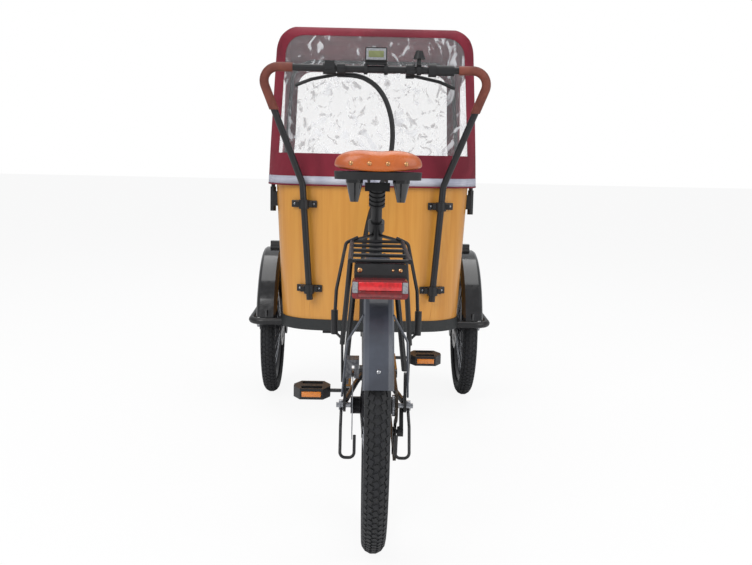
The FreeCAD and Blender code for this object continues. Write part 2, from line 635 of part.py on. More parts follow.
hoops = []
for side in (-1, 1):
    out = side * (plate_x1 + 4 + GAP)
    hoops.append(bent([(out, axle_y + 8, axle_z - 4), (out, axle_y - 70, axle_z - 30), (out, axle_y - 100, axle_z - 94),
                       (side * 46, axle_y - 100, axle_z - 94), (side * 46, axle_y - 100, axle_z - 42)], 3.5, 12))
nut_clear = [disc(min(s * plate_x1, s * (plate_x1 + 11)), max(s * plate_x1, s * (plate_x1 + 11)), axle_y, axle_z,
                  12 + GAP) for s in (-1, 1)]
hoops = [h.cut(n) for h, n in zip(hoops, nut_clear)]
save("axle_guards", *[sorted(h.Solids, key=lambda s: -s.Volume)[0] for h in hoops])

# ---------------------------------------------------------------- cargo box
def rounded_plan(half, rear, front, bulge, corner, z):
    """A closed plan outline: bowed rear and front, straight sides, round corners."""
    def quarter(y_end, sign):
        """Corner centre and both tangent points at one end; sign is +1 at the rear."""
        bulge_y = y_end + sign * bulge
        cx = half - corner
        cy = bulge_y - sign * math.sqrt((bulge - corner) ** 2 - cx ** 2)
        share = bulge / (bulge - corner)
        return (cx, cy), (cx * share, bulge_y + (cy - bulge_y) * share)

    (rx, ry), (rbx, rby) = quarter(rear, 1)
    (fx, fy), (fbx, fby) = quarter(front, -1)

    def mid_corner(cx, cy, bx, by):
        """The point halfway round a corner's arc."""
        t0 = math.atan2(by - cy, bx - cx)
        return (cx + corner * math.cos(t0 / 2), cy + corner * math.sin(t0 / 2))

    rm = mid_corner(rx, ry, rbx, rby)
    fm = mid_corner(fx, fy, fbx, fby)
    p = [V(x, y, z) for x, y in ((-rbx, rby), (0, rear), (rbx, rby), rm, (half, ry), (half, fy), fm, (fbx, fby),
                                 (0, front), (-fbx, fby), (-fm[0], fm[1]), (-half, fy), (-half, ry),
                                 (-rm[0], rm[1]))]
    edges = [Part.Arc(p[0], p[1], p[2]), Part.Arc(p[2], p[3], p[4]), None, Part.Arc(p[5], p[6], p[7]),
             Part.Arc(p[7], p[8], p[9]), Part.Arc(p[9], p[10], p[11]), None, Part.Arc(p[12], p[13], p[0])]
    lines = {2: (p[4], p[5]), 6: (p[11], p[12])}
    return Part.Wire([e.toShape() if e else Part.makeLine(*lines[i]) for i, e in enumerate(edges)])


def box_half(z):
    """Half the box's outer width at a height."""
    return BOX_HALF_LOW + (BOX_HALF_TOP - BOX_HALF_LOW) * (z - TRAY_TOP) / (WALL_TOP - TRAY_TOP)


def box_plan(z, inset):
    """The box wall's plan outline at a height, moved in by the inset."""
    return rounded_plan(box_half(z) - inset, BOX_REAR + inset, BOX_FRONT - inset, BULGE_R - inset,
                        CORNER_R - inset, z)


def box_solid(z0, z1, inset):
    """The volume inside the box's outline between two heights."""
    return Part.makeLoft([box_plan(z0, inset), box_plan(z1, inset)], True, True)


def tray_solid(z0, z1, inset):
    """An upright-sided volume with the outline of the box's foot."""
    wire = rounded_plan(BOX_HALF_LOW - inset, BOX_REAR + inset, BOX_FRONT - inset, BULGE_R - inset,
                        CORNER_R - inset, z0)
    return Part.Face(wire).extrude(V(0, 0, z1 - z0))


tray = tray_solid(TRAY_BOTTOM, TRAY_TOP, -TRAY_LIP).cut(tray_solid(TRAY_BOTTOM + TRAY_FLOOR, TRAY_TOP + 1, WALL + 2))
gland = block(LOOM_X - 14, LOOM_X + 14, LOOM_Y - 14, BOX_REAR - TRAY_LIP + 4, TRAY_TOP - 26, TRAY_TOP)
save("box_tray", join([tray, gland]))

walls = box_solid(TRAY_TOP, WALL_TOP, 0).cut(box_solid(TRAY_TOP - 1, WALL_TOP + 1, WALL))
mid_y = (BOX_REAR + BOX_FRONT) / 2


def seam_wedge(widen):
    """A wedge between the two rear seams, or between the front ones."""
    low = SEAM_LOW + widen
    top = SEAM_TOP + widen
    z0 = TRAY_TOP - 5
    z1 = WALL_TOP + 5
    return polygon([(-low, 0, z0), (low, 0, z0), (top, 0, z1), (-top, 0, z1)])


rear_zone = seam_wedge(0).extrude(V(0, mid_y, 0))
front_zone = seam_wedge(0)
front_zone.translate(V(0, mid_y, 0))
front_zone = front_zone.extrude(V(0, OVERALL_LENGTH, 0))
wide_rear = seam_wedge(GAP).extrude(V(0, mid_y, 0))
wide_front = seam_wedge(GAP)
wide_front.translate(V(0, mid_y, 0))
wide_front = wide_front.extrude(V(0, OVERALL_LENGTH, 0))
save("box_rear_panel", walls.common(rear_zone))
save("box_front_panel", walls.common(front_zone))
sides = walls.cut(wide_rear).cut(wide_front)
left, right = sorted(sides.Solids, key=lambda s: s.CenterOfMass.x)
save("box_side_left", left)
save("box_side_right", right)

room = box_solid(TRAY_TOP, WALL_TOP, WALL + GAP)
bench_y0 = BOX_REAR + 36
bench_y1 = BOX_REAR + 330
bench = room.common(block(-400, 400, bench_y0, bench_y1, BENCH_Z, BENCH_Z + BENCH_T))
save("bench_board", bench)
cushion_room = box_solid(TRAY_TOP, WALL_TOP, WALL + 14)
cushion = cushion_room.common(block(-400, 400, bench_y0 + 6, bench_y1 - 4, BENCH_Z + BENCH_T + GAP,
                                    BENCH_Z + BENCH_T + CUSHION_T))
save("bench_cushion", cushion)

# ---------------------------------------------------------------- sub-frame, guards, fenders
rail_h = 25.0
sub_top = TRAY_BOTTOM - GAP
sub_bottom = sub_top - rail_h
pieces = [block(-300, 300, PIVOT_Y + y - 15, PIVOT_Y + y + 15, sub_bottom, sub_top) for y in (-200, 200)]
pieces += [block(x - 15, x + 15, PIVOT_Y - 330, PIVOT_Y + 330, sub_bottom, sub_top) for x in (-150, 150)]
pieces.append(block(-160, 160, PIVOT_Y - 45, PIVOT_Y + 45, sub_bottom, sub_top))
pieces.append(Part.makeCylinder(KINGPIN_R, sub_bottom + 2 - (BEAM_Z - HEAD_HALF - 12),
                                V(0, PIVOT_Y, BEAM_Z - HEAD_HALF - 12)))
pieces.append(Part.makeCylinder(KINGPIN_R + 8, 8, V(0, PIVOT_Y, BEAM_Z - HEAD_HALF - 14)))
save("sub_frame", join(pieces))

tray_side = BOX_HALF_LOW + TRAY_LIP + GAP
guards = []
for side in (-1, 1):
    inner = side * (tray_side - 8)
    outer = side * GUARD_X
    hoop = bent([(inner, PIVOT_Y - GUARD_REACH, GUARD_Z), (outer, PIVOT_Y - GUARD_REACH, GUARD_Z),
                 (outer, PIVOT_Y + GUARD_REACH, GUARD_Z), (inner, PIVOT_Y + GUARD_REACH, GUARD_Z)], GUARD_R, 45)
    x0, x1 = sorted((side * tray_side, side * (tray_side + PLATE_T)))
    bar = block(x0, x1, PIVOT_Y - GUARD_REACH, PIVOT_Y + GUARD_REACH, GUARD_Z - GUARD_R, GUARD_Z + GUARD_R)
    drop = capsule_plate(x0, x1, (PIVOT_Y, FRONT_TYRE_R), (PIVOT_Y, GUARD_Z - 6), 34)
    far0 = WHEEL_X * 2 - tray_side - PLATE_T
    o0, o1 = sorted((side * far0, side * (far0 + PLATE_T)))
    hanger = capsule_plate(o0, o1, (PIVOT_Y, FRONT_TYRE_R), (PIVOT_Y, GUARD_Z - 4), 20)
    link = block(min(side * far0, outer), max(side * far0, outer), PIVOT_Y - 20, PIVOT_Y + 20, GUARD_Z - 6, GUARD_Z + 6)
    one = join([hoop, bar, drop, hanger, link])
    one = one.cut(tray_solid(TRAY_BOTTOM - 60, TRAY_TOP + 60, -TRAY_LIP - GAP))
    one = one.cut(disc(-500, 500, PIVOT_Y, FRONT_TYRE_R, AXLE_R + GAP))
    guards.append(sorted(one.Solids, key=lambda s: -s.Volume)[0])
save("wheel_guards", *guards)
far1 = WHEEL_X * 2 - tray_side
axles = []
for side in (-1, 1):
    e0, e1 = sorted((side * (tray_side - 4), side * (far1 + 12)))
    one = disc(e0, e1, PIVOT_Y, FRONT_TYRE_R, AXLE_R)
    n0, n1 = sorted((side * (far1 + GAP), side * (far1 + 10)))
    axles.append(join([one, disc(n0, n1, PIVOT_Y, FRONT_TYRE_R, 11)]))
save("front_axles", *axles)

mudguards = []
for side in (-1, 1):
    x = side * WHEEL_X
    arch = fender(x, PIVOT_Y, FRONT_TYRE_R, FRONT_FENDER_R, FRONT_FENDER_W, 13, 167)
    stems = []
    for sign in (-1, 1):
        foot_y = PIVOT_Y + sign * (GUARD_REACH - 12)
        stems.append(rod((x, foot_y, GUARD_Z + GUARD_R + GAP), (x, foot_y, GUARD_Z + GUARD_R + 26), 6))
    arm0, arm1 = sorted((side * (box_half(578) + GAP), side * (WHEEL_X + 12)))
    stems.append(block(arm0, arm1, PIVOT_Y - 24, PIVOT_Y + 24, FRONT_TYRE_R + FRONT_FENDER_R - 2,
                       FRONT_TYRE_R + FRONT_FENDER_R + 8))
    stems.append(block(min(arm0, arm1), max(arm0, arm1), PIVOT_Y - 16, PIVOT_Y + 16,
                       FRONT_TYRE_R + FRONT_FENDER_R + 6, FRONT_TYRE_R + FRONT_FENDER_R + 24))
    one = join([arch] + stems).cut(box_solid(TRAY_TOP, WALL_TOP, -GAP))
    one = one.cut(block(-500, 500, PIVOT_Y - 400, PIVOT_Y + 400, GUARD_Z - 60, GUARD_Z + GUARD_R + GAP))
    mudguards.append(sorted(one.Solids, key=lambda s: -s.Volume)[0])
save("front_fenders", *mudguards)

pads = []
for side in (-1, 1):
    rotor = side * (WHEEL_X - FRONT_DISC_OFFSET)
    x0, x1 = sorted((side * (tray_side + PLATE_T + GAP), rotor + side * 5))
    one = block(x0, x1, PIVOT_Y + 36, PIVOT_Y + 84, FRONT_TYRE_R + 22, FRONT_TYRE_R + 58)
    slot0, slot1 = sorted((rotor - side * 2.5, rotor + side * 2.5))
    pads.append(one.cut(disc(slot0, slot1, PIVOT_Y, FRONT_TYRE_R, DISC_R + 3)))
save("front_calipers", *pads)

# ---------------------------------------------------------------- handlebar
def bar_points(side):
    """The handlebar's corners on one side, from the post's foot to the middle."""
    return [(side * POST_FOOT[0], POST_Y, POST_FOOT[1]), (side * POST_BEND[0], POST_Y, POST_BEND[1]),
            (side * BAR_CORNER[0], BAR_Y, BAR_CORNER[1]), (side * 150.0, BAR_Y, BAR_Z)]


bar_path = rounded_path(bar_points(1) + bar_points(-1)[::-1], 46)
handlebar = swept(bar_path, BAR_R)
save("handlebar", handlebar)
sleeve = swept(bar_path, WRAP_R)
bore = swept(bar_path, BAR_R + GAP)
sleeve = sleeve.cut(bore)
wraps = []
for side in (-1, 1):
    x0, x1 = sorted((side * WRAP_INNER, side * 420))
    zone = block(x0, x1, BAR_Y - 120, BAR_Y + 160, WRAP_LOW_Z, BAR_Z + 60)
    wraps.append(sleeve.common(zone))
save("grip_wraps", *wraps)

clamps = []
for side in (-1, 1):
    for z in (460.0, 745.0):
        share = (z - POST_FOOT[1]) / (POST_BEND[1] - POST_FOOT[1])
        x = POST_FOOT[0] + (POST_BEND[0] - POST_FOOT[0]) * share
        grip = Part.makeCylinder(BAR_R + 6, 30, V(side * x, POST_Y, z - 15))
        plate = block(side * x - 28, side * x + 28, POST_Y - 4, BOX_REAR + 60, z - 9, z + 9)
        one = join([grip, plate]).cut(box_solid(TRAY_TOP, WALL_TOP, -GAP)).cut(swept(bar_path, BAR_R + GAP))
        clamps.append(sorted(one.Solids, key=lambda s: -s.Volume)[0])
save("post_brackets", *clamps)


def on_bar(x0, x1, radius):
    """A sleeve round the straight middle of the bar."""
    return disc(x0, x1, BAR_Y, BAR_Z, radius, BAR_R + GAP)


screen = block(-34, 34, BAR_Y - 16, BAR_Y + 2, BAR_Z + 24, BAR_Z + 66)
screen = screen.makeFillet(5, [e for e in screen.Edges if abs(e.tangentAt(e.FirstParameter).y) > 0.9])
feet = [on_bar(x - 6, x + 6, 17) for x in (-32, 32)]
bridge_bar = block(-34, 34, BAR_Y - 8, BAR_Y + 4, BAR_Z + 12.5, BAR_Z + 26)
save("display", join([screen, bridge_bar] + feet))

levers = []
for side in (-1, 1):
    c0, c1 = sorted((side * 96, side * 122))
    ring_clamp = on_bar(c0, c1, 18)
    body = block(c0, c1, BAR_Y + 13, BAR_Y + 44, BAR_Z - 24, BAR_Z + 8)
    blade = bent([(side * 104, BAR_Y + 38, BAR_Z - 12), (side * 150, BAR_Y + 46, BAR_Z - 20),
                  (side * 205, BAR_Y + 40, BAR_Z - 32), (side * 256, BAR_Y + 46, BAR_Z - 52)], 5.5, 30)
    levers.append(join([ring_clamp, body, blade]))
save("brake_levers", *levers)

def cord(points, radius):
    """A free cord: straight runs joined by tangent arcs, each as round as its shorter run allows."""
    points = [V(*p) for p in points]
    edges = []
    radii = []
    start = points[0]
    for before, corner, after in zip(points, points[1:], points[2:]):
        u = (before - corner).normalize()
        w = (after - corner).normalize()
        half_turn = (math.pi - u.getAngle(w)) / 2
        back = 0.45 * min((before - corner).Length, (after - corner).Length)
        bend_r = back / math.tan(half_turn)
        radii.append(bend_r)
        centre = corner + (u + w).normalize() * (bend_r / math.cos(half_turn))
        middle = centre + (corner - centre).normalize() * bend_r
        edges.append(Part.makeLine(start, corner + u * back))
        edges.append(Part.Arc(corner + u * back, middle, corner + w * back).toShape())
        start = corner + w * back
    edges.append(Part.makeLine(start, points[-1]))
    path = Part.Wire(edges)
    tube = swept(path, radius)
    print("cord: length %.0f, tightest bend %.0f, volume over section times length %.4f"
          % (path.Length, min(radii), tube.Volume / (math.pi * radius ** 2 * path.Length)))
    return tube


save("cable_loom", cord(LOOM_POINTS, LOOM_R))

switch = join([on_bar(-166, -126, 19), block(-160, -130, BAR_Y - 26, BAR_Y - 12, BAR_Z - 4, BAR_Z + 22)])
save("left_switch", switch)
grip = join([on_bar(166, 190, 21), on_bar(190, 247, 16.5)])
save("twist_grip", grip.cut(swept(bar_path, BAR_R + GAP)))
cup = Part.makeCone(20, 10, 26, V(136, BAR_Y, BAR_Z + 34))
save("bell", join([cup, Part.makeCylinder(6, 30, V(136, BAR_Y, BAR_Z + 12)), on_bar(129, 143, 16)]))

# ---------------------------------------------------------------- canopy
def side_profile(inset):
    """The canopy's outline seen from the side, extruded across the vehicle."""
    rear = BOX_REAR - HEM_OUT + inset
    front = BOX_FRONT + HEM_OUT - inset
    top_rear = (BOX_REAR + ROOF_REAR_AHEAD + inset * 0.8, ROOF_REAR_Z - inset)
    top_front = (BOX_REAR + ROOF_REAR_AHEAD + ROOF_LENGTH - inset * 0.6, ROOF_FRONT_Z - inset)
    low = HEM_Z - (10 if inset else 0)
    points = [(rear, low), (rear, HEM_Z + 46), top_rear, top_front, (front, HEM_Z + 46), (front, low)]
    face = polygon([(-500, y, z) for y, z in points])
    prism = face.extrude(V(1000, 0, 0))
    roof_edges = [e for e in prism.Edges if abs(e.tangentAt(e.FirstParameter).x) > 0.9
                  and e.CenterOfMass.z > HEM_Z + 200]
    return prism.makeFillet(55 - inset, roof_edges)


def front_profile(inset):
    """The canopy's outline seen from the rear, extruded along the vehicle."""
    low = HEM_Z - (10 if inset else 0)
    half_low = HEM_HALF - inset
    half_top = HEM_HALF - SIDE_LEAN - inset
    top = ROOF_REAR_Z - inset
    face = polygon([(-half_low, -1200, low), (half_low, -1200, low), (half_top, -1200, top), (-half_top, -1200, top)])
    prism = face.extrude(V(0, 2600, 0))
    top_edges = [e for e in prism.Edges if abs(e.tangentAt(e.FirstParameter).y) > 0.9
                 and e.CenterOfMass.z > HEM_Z + 200]
    return prism.makeFillet(ROOF_CORNER_R - inset, top_edges)


def canopy_plan(inset):
    """The canopy's outline seen from above, extruded up."""
    low = HEM_Z - (10 if inset else 0)
    wire = rounded_plan(HEM_HALF - inset, BOX_REAR - HEM_OUT + inset, BOX_FRONT + HEM_OUT - inset,
                        BULGE_R - inset, CORNER_R + HEM_OUT - inset, low)
    return Part.Face(wire).extrude(V(0, 0, ROOF_REAR_Z + 100 - low))


def canopy_volume(inset):
    """The canopy's whole volume, moved in by the inset on every side."""
    return side_profile(inset).common(front_profile(inset)).common(canopy_plan(inset))


def window_cutters(shrink):
    """One prism for each window opening: rear, front, left and right."""
    top = ROOF_REAR_Z - WINDOW_MARGIN - 8
    low_half = HEM_HALF - 12 - WINDOW_MARGIN - shrink
    top_half = HEM_HALF - SIDE_LEAN - WINDOW_MARGIN - shrink
    z0 = WINDOW_Z + shrink
    made = []
    for y, run, roof, far in ((BOX_REAR - 60, 210, top, 0), (BOX_FRONT + 60, -390, ROOF_FRONT_Z - 40, 1)):
        face = polygon([(-low_half, y, z0), (low_half, y, z0), (top_half, y, roof - shrink),
                        (-top_half, y, roof - shrink)])
        prism = face.extrude(V(0, run, 0))
        edges = [e for e in prism.Edges if abs(e.tangentAt(e.FirstParameter).y) > 0.9]
        high = [e for e in edges if e.CenterOfMass.z > HEM_Z + 200]
        made.append(prism.makeFillet(62 - shrink, high))
    rear_y = BOX_REAR + 168 + shrink
    front_y = BOX_REAR + ROOF_REAR_AHEAD + ROOF_LENGTH - 40 - shrink
    for side in (-1, 1):
        face = polygon([(side * 250, rear_y, z0), (side * 250, front_y + 60, z0),
                        (side * 250, front_y - 60, ROOF_FRONT_Z - 96 - shrink),
                        (side * 250, rear_y, ROOF_FRONT_Z - 60 - shrink)])
        prism = face.extrude(V(side * 200, 0, 0))
        edges = [e for e in prism.Edges if abs(e.tangentAt(e.FirstParameter).x) > 0.9]
        made.append(prism.makeFillet(30 - shrink, edges))
    return made


canopy = canopy_volume(0).cut(canopy_volume(SHELL_T))
film = canopy_volume(1.0).cut(canopy_volume(1.0 + FILM_T))
panes = []
for opening, pane in zip(window_cutters(0.0), window_cutters(GAP)):
    canopy = canopy.cut(opening)
    panes.append(sorted(film.common(pane).Solids, key=lambda s: -s.Volume)[0])
save("canopy", canopy)
save("canopy_windows", *panes)

hoop_y = BOX_REAR + 150
front_hoop_y = BOX_REAR + 620
poles = []
roof_fall = (ROOF_REAR_Z - ROOF_FRONT_Z) / ROOF_LENGTH
for foot_y, behind in ((hoop_y, 64), (front_hoop_y, ROOF_LENGTH - 40)):
    top_y = BOX_REAR + ROOF_REAR_AHEAD + behind
    top_z = ROOF_REAR_Z - SHELL_T - roof_fall * behind - POLE_R - 2 * GAP
    top_x = HEM_HALF - SIDE_LEAN - SHELL_T - POLE_R - 4
    shape = [(POLE_X, foot_y, 716), (POLE_X, foot_y, HEM_Z + 20), (top_x, top_y, top_z)]
    poles.append(bent(shape + [(-x, y, z) for x, y, z in shape[::-1]], POLE_R, 84))
save("canopy_poles", *poles)
sockets = []
for foot_y in (hoop_y, front_hoop_y):
    for side in (-1, 1):
        tube = Part.makeCylinder(POLE_R + 3, 84, V(side * POLE_X, foot_y, 712))
        lug_0, lug_1 = sorted((side * 320, side * POLE_X))
        lug_block = block(lug_0, lug_1, foot_y - 12, foot_y + 12, 730, 780)
        one = join([tube, lug_block]).cut(box_solid(TRAY_TOP, WALL_TOP, -GAP))
        one = one.cut(Part.makeCylinder(POLE_R + GAP, 100, V(side * POLE_X, foot_y, 715.7)))
        sockets.append(sorted(one.Solids, key=lambda s: -s.Volume)[0])
save("pole_sockets", *sockets)
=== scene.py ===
"""Three-wheeled electric box cargo bike: finishes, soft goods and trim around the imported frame."""

import logging
import math
from dataclasses import dataclass
from enum import Enum

import bmesh
import bpy
from mathutils import Matrix, Vector


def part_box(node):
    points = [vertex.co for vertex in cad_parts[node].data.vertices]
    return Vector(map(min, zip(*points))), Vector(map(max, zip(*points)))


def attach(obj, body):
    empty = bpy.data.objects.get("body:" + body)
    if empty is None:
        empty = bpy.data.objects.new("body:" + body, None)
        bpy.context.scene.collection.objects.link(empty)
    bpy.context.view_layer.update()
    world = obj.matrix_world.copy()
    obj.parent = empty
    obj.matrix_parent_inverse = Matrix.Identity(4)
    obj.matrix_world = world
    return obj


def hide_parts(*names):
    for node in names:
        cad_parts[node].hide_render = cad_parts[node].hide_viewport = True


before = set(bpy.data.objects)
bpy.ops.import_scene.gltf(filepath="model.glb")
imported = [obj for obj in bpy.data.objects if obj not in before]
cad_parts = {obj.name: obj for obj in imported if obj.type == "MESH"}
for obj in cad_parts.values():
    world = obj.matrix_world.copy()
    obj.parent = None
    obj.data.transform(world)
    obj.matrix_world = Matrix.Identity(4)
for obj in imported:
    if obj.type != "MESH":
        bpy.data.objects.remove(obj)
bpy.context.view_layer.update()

LOG = logging.getLogger("cargo_bike")
Colour = tuple[float, float, float]
Point = tuple[float, float, float]


class Effect(Enum):
    """The surface effects that a finish can use, by the name of their node group."""

    GRAIN = "wood_grain"
    WEAVE = "cloth_weave"
    HIDE = "leather_hide"
    SPECKLE = "paint_speckle"
    BRUSHED = "brushed_lines"
    CRINKLE = "film_crinkle"


def srgb(red: int, green: int, blue: int) -> Colour:
    """Linear colour from display values of 0 to 255."""
    return tuple(((c / 255 + 0.055) / 1.055) ** 2.4 if c > 10 else c / 255 / 12.92
                 for c in (red, green, blue))


@dataclass(frozen=True)
class Finish:
    """How one kind of surface looks.

    Attributes:
        name: The material's name.
        colour: Main linear colour.
        tint: Colour where the effect's mask is full.
        rough: Roughness where the mask is empty, and where it is full.
        effect: The node group that varies the surface.
        scale: Size of the effect, in repeats per metre.
        bump: Height of the relief, in metres.
        metallic: 1 for bare metal.
        coat: Weight of a clear coat.
        dust: How much dust lies on upward faces and in soft patches.
    """

    name: str
    colour: Colour
    tint: Colour
    rough: tuple[float, float]
    effect: Effect
    scale: float
    bump: float = 0.0002
    metallic: float = 0.0
    coat: float = 0.0
    dust: float = 0.03


class NodeGroups:
    """Builds the shared effect groups; each gives a Mask and a Height.

    Each spread holds the values that become 0 and 1 in a mask.
    """

    NOISE_SPREAD = (0.36, 0.68)
    HIDE_SPREAD = (0.35, 0.7)
    WEAVE_SPREAD = (0.3, 0.72)
    PATCH_SPREAD = (0.42, 0.75)
    UPWARD_SPREAD = (-0.2, 1.0)
    SHADE_HEIGHT = 9.0

    def __init__(self) -> None:
        """Build every group once."""
        self.groups = {
            Effect.GRAIN: self._noise_group(Effect.GRAIN, (1.0, 1.0, 0.06), 6.0, 0.62, 1.6),
            Effect.HIDE: self._cell_group(Effect.HIDE, 0.35),
            Effect.SPECKLE: self._noise_group(Effect.SPECKLE, (1.0, 1.0, 1.0), 3.0, 0.5, 0.0),
            Effect.BRUSHED: self._noise_group(Effect.BRUSHED, (12.0, 1.0, 1.0), 4.0, 0.6, 0.0),
            Effect.CRINKLE: self._noise_group(Effect.CRINKLE, (1.0, 1.0, 0.7), 5.0, 0.55, 2.2),
            Effect.WEAVE: self._weave_group(),
        }
        self.dust = self._dust_group()

    @staticmethod
    def _new(name: str) -> bpy.types.NodeTree:
        """Start a group with the shared sockets.

        Args:
            name: The group's name.

        Returns:
            The new group, with its input and output nodes in place.
        """
        tree = bpy.data.node_groups.new(name, "ShaderNodeTree")
        tree.interface.new_socket("Scale", in_out="INPUT", socket_type="NodeSocketFloat")
        tree.interface.new_socket("Mask", in_out="OUTPUT", socket_type="NodeSocketFloat")
        tree.interface.new_socket("Height", in_out="OUTPUT", socket_type="NodeSocketFloat")
        tree.nodes.new("NodeGroupInput").name = "in"
        tree.nodes.new("NodeGroupOutput").name = "out"
        tree.nodes.new("ShaderNodeTexCoord").name = "where"
        return tree

    @staticmethod
    def _ramp(tree: bpy.types.NodeTree, source: bpy.types.NodeSocket, low: float,
              high: float) -> bpy.types.NodeSocket:
        """Stretch a value's range to 0..1 inside a group.

        Args:
            tree: The group.
            source: The value's socket.
            low: The value that becomes 0.
            high: The value that becomes 1.

        Returns:
            The socket of the stretched value.
        """
        node = tree.nodes.new("ShaderNodeMapRange")
        node.interpolation_type = "SMOOTHSTEP"
        node.inputs["From Min"].default_value = low
        node.inputs["From Max"].default_value = high
        tree.links.new(source, node.inputs["Value"])
        return node.outputs["Result"]

    def _noise_group(self, effect: Effect, stretch: Point, detail: float, rough: float,
                     distort: float) -> bpy.types.NodeTree:
        """Build a noise effect.

        Args:
            effect: Which effect it is.
            stretch: Repeats along each axis.
            detail: Octaves of noise.
            rough: Strength of the fine octaves.
            distort: How far the noise bends.

        Returns:
            The finished group.
        """
        tree = self._new(effect.value)
        nodes, links = tree.nodes, tree.links
        mapping = nodes.new("ShaderNodeMapping")
        mapping.inputs["Scale"].default_value = stretch
        links.new(nodes["where"].outputs["Object"], mapping.inputs["Vector"])
        noise = nodes.new("ShaderNodeTexNoise")
        noise.inputs["Detail"].default_value = detail
        noise.inputs["Roughness"].default_value = rough
        noise.inputs["Distortion"].default_value = distort
        links.new(mapping.outputs["Vector"], noise.inputs["Vector"])
        links.new(nodes["in"].outputs["Scale"], noise.inputs["Scale"])
        links.new(self._ramp(tree, noise.outputs["Fac"], *self.NOISE_SPREAD), nodes["out"].inputs["Mask"])
        links.new(noise.outputs["Fac"], nodes["out"].inputs["Height"])
        return tree

    def _cell_group(self, effect: Effect, edge: float) -> bpy.types.NodeTree:
        """Build pebbled cells with soft creases between them.

        Args:
            effect: Which effect it is.
            edge: Distance from a crease at which the height is full.

        Returns:
            The finished group.
        """
        tree = self._new(effect.value)
        nodes, links = tree.nodes, tree.links
        cells = nodes.new("ShaderNodeTexVoronoi")
        cells.feature = "DISTANCE_TO_EDGE"
        links.new(nodes["where"].outputs["Object"], cells.inputs["Vector"])
        links.new(nodes["in"].outputs["Scale"], cells.inputs["Scale"])
        noise = nodes.new("ShaderNodeTexNoise")
        noise.inputs["Scale"].default_value = 14.0
        noise.inputs["Detail"].default_value = 5.0
        links.new(nodes["where"].outputs["Object"], noise.inputs["Vector"])
        links.new(self._ramp(tree, noise.outputs["Fac"], *self.HIDE_SPREAD), nodes["out"].inputs["Mask"])
        links.new(self._ramp(tree, cells.outputs["Distance"], 0.0, edge), nodes["out"].inputs["Height"])
        return tree

    def _weave_group(self) -> bpy.types.NodeTree:
        """Build fine crossed threads, with soft patches of shade.

        Returns:
            The finished group.
        """
        tree = self._new(Effect.WEAVE.value)
        nodes, links = tree.nodes, tree.links
        heights = []
        for axis in ("X", "Z"):
            wave = nodes.new("ShaderNodeTexWave")
            wave.bands_direction = axis
            wave.inputs["Distortion"].default_value = 0.4
            links.new(nodes["where"].outputs["Object"], wave.inputs["Vector"])
            links.new(nodes["in"].outputs["Scale"], wave.inputs["Scale"])
            heights.append(wave.outputs["Fac"])
        both = nodes.new("ShaderNodeMath")
        both.operation = "MULTIPLY"
        links.new(heights[0], both.inputs[0])
        links.new(heights[1], both.inputs[1])
        noise = nodes.new("ShaderNodeTexNoise")
        noise.inputs["Scale"].default_value = 7.0
        noise.inputs["Detail"].default_value = 4.0
        noise.inputs["Distortion"].default_value = 0.8
        links.new(nodes["where"].outputs["Object"], noise.inputs["Vector"])
        shade = self._ramp(tree, noise.outputs["Fac"], *self.WEAVE_SPREAD)
        total = nodes.new("ShaderNodeMath")
        total.operation = "MULTIPLY_ADD"
        total.inputs[1].default_value = self.SHADE_HEIGHT
        links.new(shade, total.inputs[0])
        links.new(both.outputs[0], total.inputs[2])
        links.new(shade, nodes["out"].inputs["Mask"])
        links.new(total.outputs[0], nodes["out"].inputs["Height"])
        return tree

    def _dust_group(self) -> bpy.types.NodeTree:
        """Build soft patches of dust, strongest on faces that look up.

        Returns:
            The finished group.
        """
        tree = self._new("light_dust")
        nodes, links = tree.nodes, tree.links
        noise = nodes.new("ShaderNodeTexNoise")
        noise.inputs["Detail"].default_value = 6.0
        links.new(nodes["where"].outputs["Object"], noise.inputs["Vector"])
        links.new(nodes["in"].outputs["Scale"], noise.inputs["Scale"])
        split = nodes.new("ShaderNodeSeparateXYZ")
        links.new(nodes["where"].outputs["Normal"], split.inputs[0])
        up = self._ramp(tree, split.outputs["Z"], *self.UPWARD_SPREAD)
        patch = self._ramp(tree, noise.outputs["Fac"], *self.PATCH_SPREAD)
        both = nodes.new("ShaderNodeMath")
        both.operation = "MULTIPLY"
        links.new(up, both.inputs[0])
        links.new(patch, both.inputs[1])
        links.new(both.outputs[0], nodes["out"].inputs["Mask"])
        links.new(noise.outputs["Fac"], nodes["out"].inputs["Height"])
        return tree


